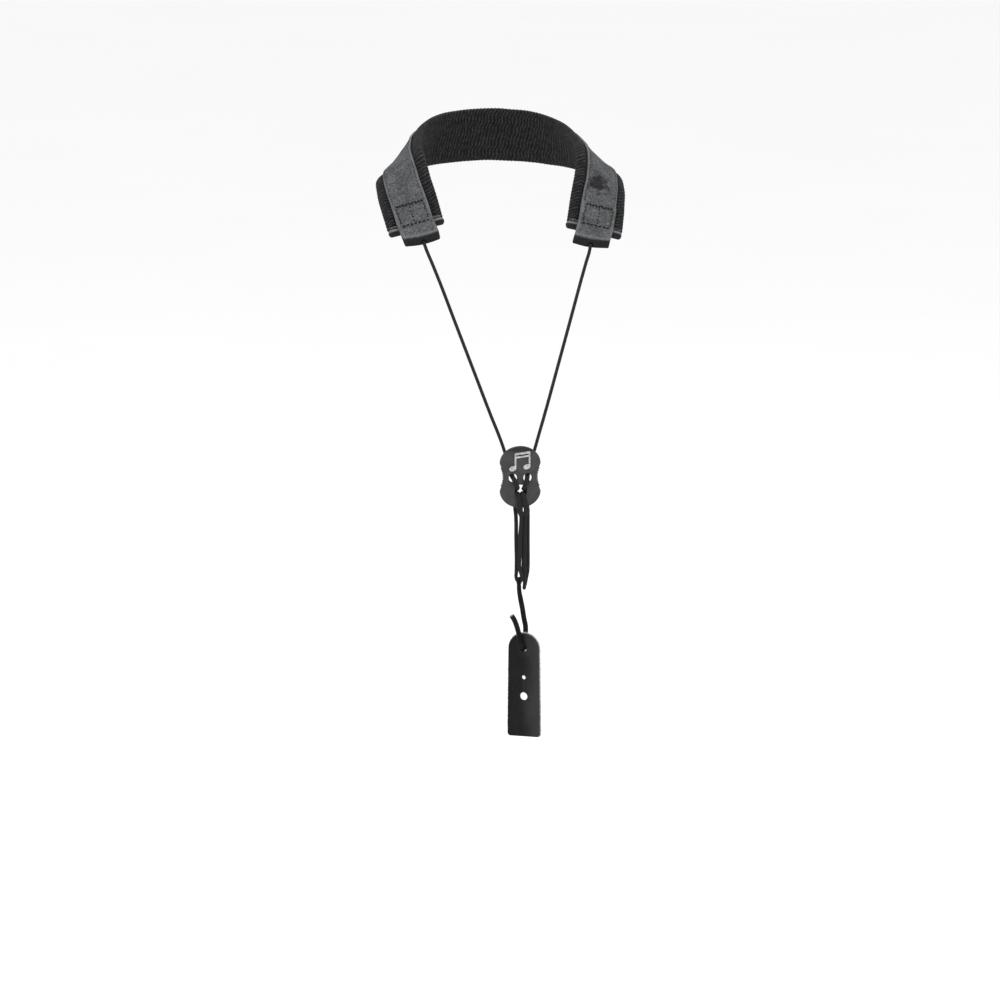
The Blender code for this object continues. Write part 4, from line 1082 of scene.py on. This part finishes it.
def tab_outline(grow=0.0, ragged=0.0):
    """A round top, spreading sides and rounded lower corners, grown outwards or made uneven if asked."""
    radius = TAB_TOP_RADIUS + grow
    corner = TAB_CORNER + 0.3 * grow
    low, wide = TAB_BOTTOM + TAB_CORNER - 0.3 * grow, TAB_BOTTOM_HALF_WIDTH - TAB_CORNER + 0.7 * grow
    middle = TAB_TOP - TAB_TOP_RADIUS
    side_count = 120 if ragged else 2
    right = [(radius + (wide + corner - radius) * k / side_count, middle + (low - middle) * k / side_count)
             for k in range(1, side_count)]
    outline = [*arc(0, middle, radius, 0, 180, 61), *[(-x, z) for x, z in right]]
    outline += [*arc(-wide, low, corner, 180, 270, 9)[1:], *arc(wide, low, corner, 270, 360, 9), *right[::-1]]
    if not ragged:
        return outline
    uneven = []
    for x, z in outline:
        push = noise.noise(Vector((x / 0.0011, z / 0.0011, 0.0)))
        push += 0.6 * noise.noise(Vector((x / 0.0003, z / 0.0003, 4)))
        uneven.append((x * (1 + ragged * push / 0.0115), z + ragged * push * 0.4))
    return uneven


def buttonhole():
    """The small hole, the slit and the large hole, as one outline."""
    small_turn = degrees(asin(SLIT_HALF_WIDTH / SMALL_HOLE_RADIUS))
    large_turn = degrees(asin(SLIT_HALF_WIDTH / LARGE_HOLE_RADIUS))
    return [
        *arc(0, SMALL_HOLE_Z, SMALL_HOLE_RADIUS, -90 + small_turn, 270 - small_turn, 33),
        *arc(0, LARGE_HOLE_Z, LARGE_HOLE_RADIUS, 90 + large_turn, 450 - large_turn, 49),
    ]


def make_tab(leather, suede):
    """The leather tab with its pressed edge, the suede behind it, and the suede's loose fibres."""
    holes = [circle(0, 0, LACE_HOLE_RADIUS), buttonhole()]
    outlines = [tab_outline(), *holes]
    mesh = moulding("tab_face", outlines, LEATHER_THICKNESS, LEATHER_EDGE, upright(TAB_ORIGIN, TAB_TURN))
    face = new_piece("tab_face", mesh, leather, "tab")
    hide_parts("tab_leather")
    back = (LEATHER_THICKNESS + LINING_THICKNESS) / 2 + LINING_GAP
    into_strap = tab_frame()
    frame = into_strap @ Matrix.Translation((0, back, 0)) @ Matrix.Rotation(pi / 2, 4, "X")
    edge = tab_outline(SUEDE_PAST_LEATHER, SUEDE_RAGGEDNESS)
    lining_mesh = moulding("tab_suede", [edge, *holes], LINING_THICKNESS, LINING_EDGE, frame)
    lining = new_piece("tab_suede", lining_mesh, suede, "tab")
    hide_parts("tab_lining")
    pick = random.Random(7)
    fibres = []
    for x, z in edge:
        out = Vector((x, 0, z + 0.03 if z < -0.055 else (z if z > 0 else 0))).normalized()
        for _ in range(2):
            root = Vector((x, back + pick.uniform(-0.0002, 0.0003), z + pick.uniform(-0.0003, 0.0003)))
            lean = Vector((pick.uniform(-0.5, 0.5), pick.uniform(-0.6, 0.6), pick.uniform(-0.9, 0.3)))
            tip = root + (out + lean * 0.7).normalized() * pick.uniform(0.0003, 0.0009)
            line = [into_strap @ root.lerp(tip, t) for t in (0, 0.5, 1)]
            fibres.append(tube_mesh("fibre", line, FIBRE_RADIUS, 3, 0.0001))
    new_piece("suede_fibres", joined("suede_fibres", fibres), suede, "tab")


def one_skin(obj):
    """Adds the modifiers that turn overlapping tubes into one smooth skin."""
    remesh = obj.modifiers.new("one_skin", "REMESH")
    remesh.mode = "VOXEL"
    remesh.voxel_size = LACE_VOXEL
    smooth = obj.modifiers.new("smooth", "SMOOTH")
    smooth.iterations = 6
    smooth.factor = 0.5


def lace_section(point, offset):
    """The lace is drawn tight beside the right bight, and a little thicker below it."""
    return offset * (0.93 + 0.13 * ramp(SLIDER.z - point.z, 0.082, 0.006))


def make_lace(material, cut):
    """The leather lace: an eye round the left bight, then down behind the tab and up in front of it."""
    frame = tab_frame()
    route = from_slider(LACE_TOP) + [frame @ Vector(p) for p in LACE_ROUND_TAB]
    points = even_points(route, 0.001)
    cord_way = (Vector(BIGHT_LEFT[5]) - Vector(BIGHT_LEFT[3])).normalized()
    aside = Vector((0, 0, 1)).cross(cord_way)
    centre = SLIDER + EYE_CENTRE
    eye = round_line(centre, aside * EYE_RADII[0], Vector((0, 0, EYE_RADII[1])), 40)
    neck = even_points([centre + Vector((0, 0, -0.0022)), points[0], points[3]], 0.0005)
    parts = [
        tube_mesh("lace_body", points, LACE_RADIUS, 20, press=lace_section),
        tube_mesh("lace_eye", eye, EYE_TUBE_RADIUS, 12),
        tube_mesh("lace_neck", neck, EYE_NECK_RADIUS, 16),
    ]
    done = evaluated_mesh("lace", joined("lace_parts", parts), one_skin)
    piece = new_piece("lace", done, material, "lace")
    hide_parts("tab_lace")
    tip_way = (points[-1] - points[-2]).normalized()
    inner, outer = points[-1] - tip_way * 0.0004, points[-1] + tip_way * 0.00012
    disc = tube_mesh("lace_cut_end", [inner, inner.lerp(outer, 0.7), outer], CUT_END_RADIUS, 20)
    new_piece("lace_cut_end", disc, cut, "lace")


# ---------- stage ----------


def area_light(name, place, aim, size, power):
    """A soft square light that looks at a point."""
    data = bpy.data.lights.new(name, "AREA")
    data.shape = "SQUARE"
    data.size = size
    data.energy = power
    light = new_object(name, data)
    light.location = place
    light.rotation_euler = (Vector(aim) - Vector(place)).to_track_quat("-Z", "Y").to_euler()


def make_stage():
    """A pale floor well below the strap, a pale surrounding light, soft lamps, and the camera."""
    floor_mesh = bpy.data.meshes.new("floor")
    work = bmesh.new()
    bmesh.ops.create_grid(work, x_segments=1, y_segments=1, size=12.0)
    work.to_mesh(floor_mesh)
    work.free()
    floor = new_object("floor", floor_mesh)
    floor.location = (0, 0, FLOOR_Z)
    pale = Shader("pale_floor", 0.9, 0.1)
    tone = pale.noise(pale.place(), 3.0, 2.0)
    floor_mesh.materials.append(pale.finish(pale.mix(tone, 0.8, 0.82)))

    world = bpy.data.worlds.new("studio")
    bpy.context.scene.world = world
    world.use_nodes = True
    background = world.node_tree.nodes["Background"]
    background.inputs["Color"].default_value = (1.0, 1.0, 1.0, 1.0)
    background.inputs["Strength"].default_value = 1.15
    middle = (0.0, -0.12, -0.2)
    area_light("key", (-0.8, -1.5, 1.5), middle, 0.8, 24.0)
    area_light("fill", (1.4, -1.2, 0.3), middle, 1.2, 4.0)
    area_light("top", (0.1, 0.2, 1.7), middle, 1.0, 16.0)
    bpy.context.scene.view_settings.view_transform = "Standard"

    azimuth, elevation = radians(-8), radians(10)
    away = Vector((sin(azimuth) * cos(elevation), -cos(azimuth) * cos(elevation), sin(elevation)))
    camera_data = bpy.data.cameras.new("camera")
    camera_data.sensor_fit = "HORIZONTAL"
    camera_data.sensor_width = SENSOR_WIDTH
    camera_data.lens = SENSOR_WIDTH * CAMERA_DISTANCE / VIEW_WIDTH
    camera = new_object("camera", camera_data)
    camera.location = CAMERA_AIM + away * CAMERA_DISTANCE
    camera.rotation_euler = (-away).to_track_quat("-Z", "Y").to_euler()
    bpy.context.scene.camera = camera


# ---------- the strap ----------

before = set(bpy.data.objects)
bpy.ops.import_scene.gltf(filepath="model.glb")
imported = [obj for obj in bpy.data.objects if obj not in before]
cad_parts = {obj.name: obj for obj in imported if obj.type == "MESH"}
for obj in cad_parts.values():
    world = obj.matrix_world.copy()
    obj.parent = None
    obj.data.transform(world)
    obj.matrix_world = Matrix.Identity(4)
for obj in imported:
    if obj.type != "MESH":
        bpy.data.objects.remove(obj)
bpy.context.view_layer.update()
make_stage()
cord_stuff = cord_material()
make_neck_cord("left", -1, cord_stuff)
make_neck_cord("right", 1, cord_stuff)
make_slider_cord(cord_stuff)
make_pad(knit_material())
hem_stuff, seam_stuff = hem_material(), seam_material()
make_hem("pad_end_hem_left", -1, hem_stuff, seam_stuff)
make_hem("pad_end_hem_right", 1, hem_stuff, seam_stuff)
make_webbing()
make_stitches(thread_material())
eyelet_stuff = eyelet_material()
make_eyelet("cord_eyelet_left", -1, eyelet_stuff)
make_eyelet("cord_eyelet_right", 1, eyelet_stuff)
for node in ("cord_stop_left", "cord_stop_right"):
    recolour(node, cord_stuff)
make_slider(plastic_material(), emblem_material())
make_tab(leather_material(), suede_material())
make_lace(lace_material(), cut_material())
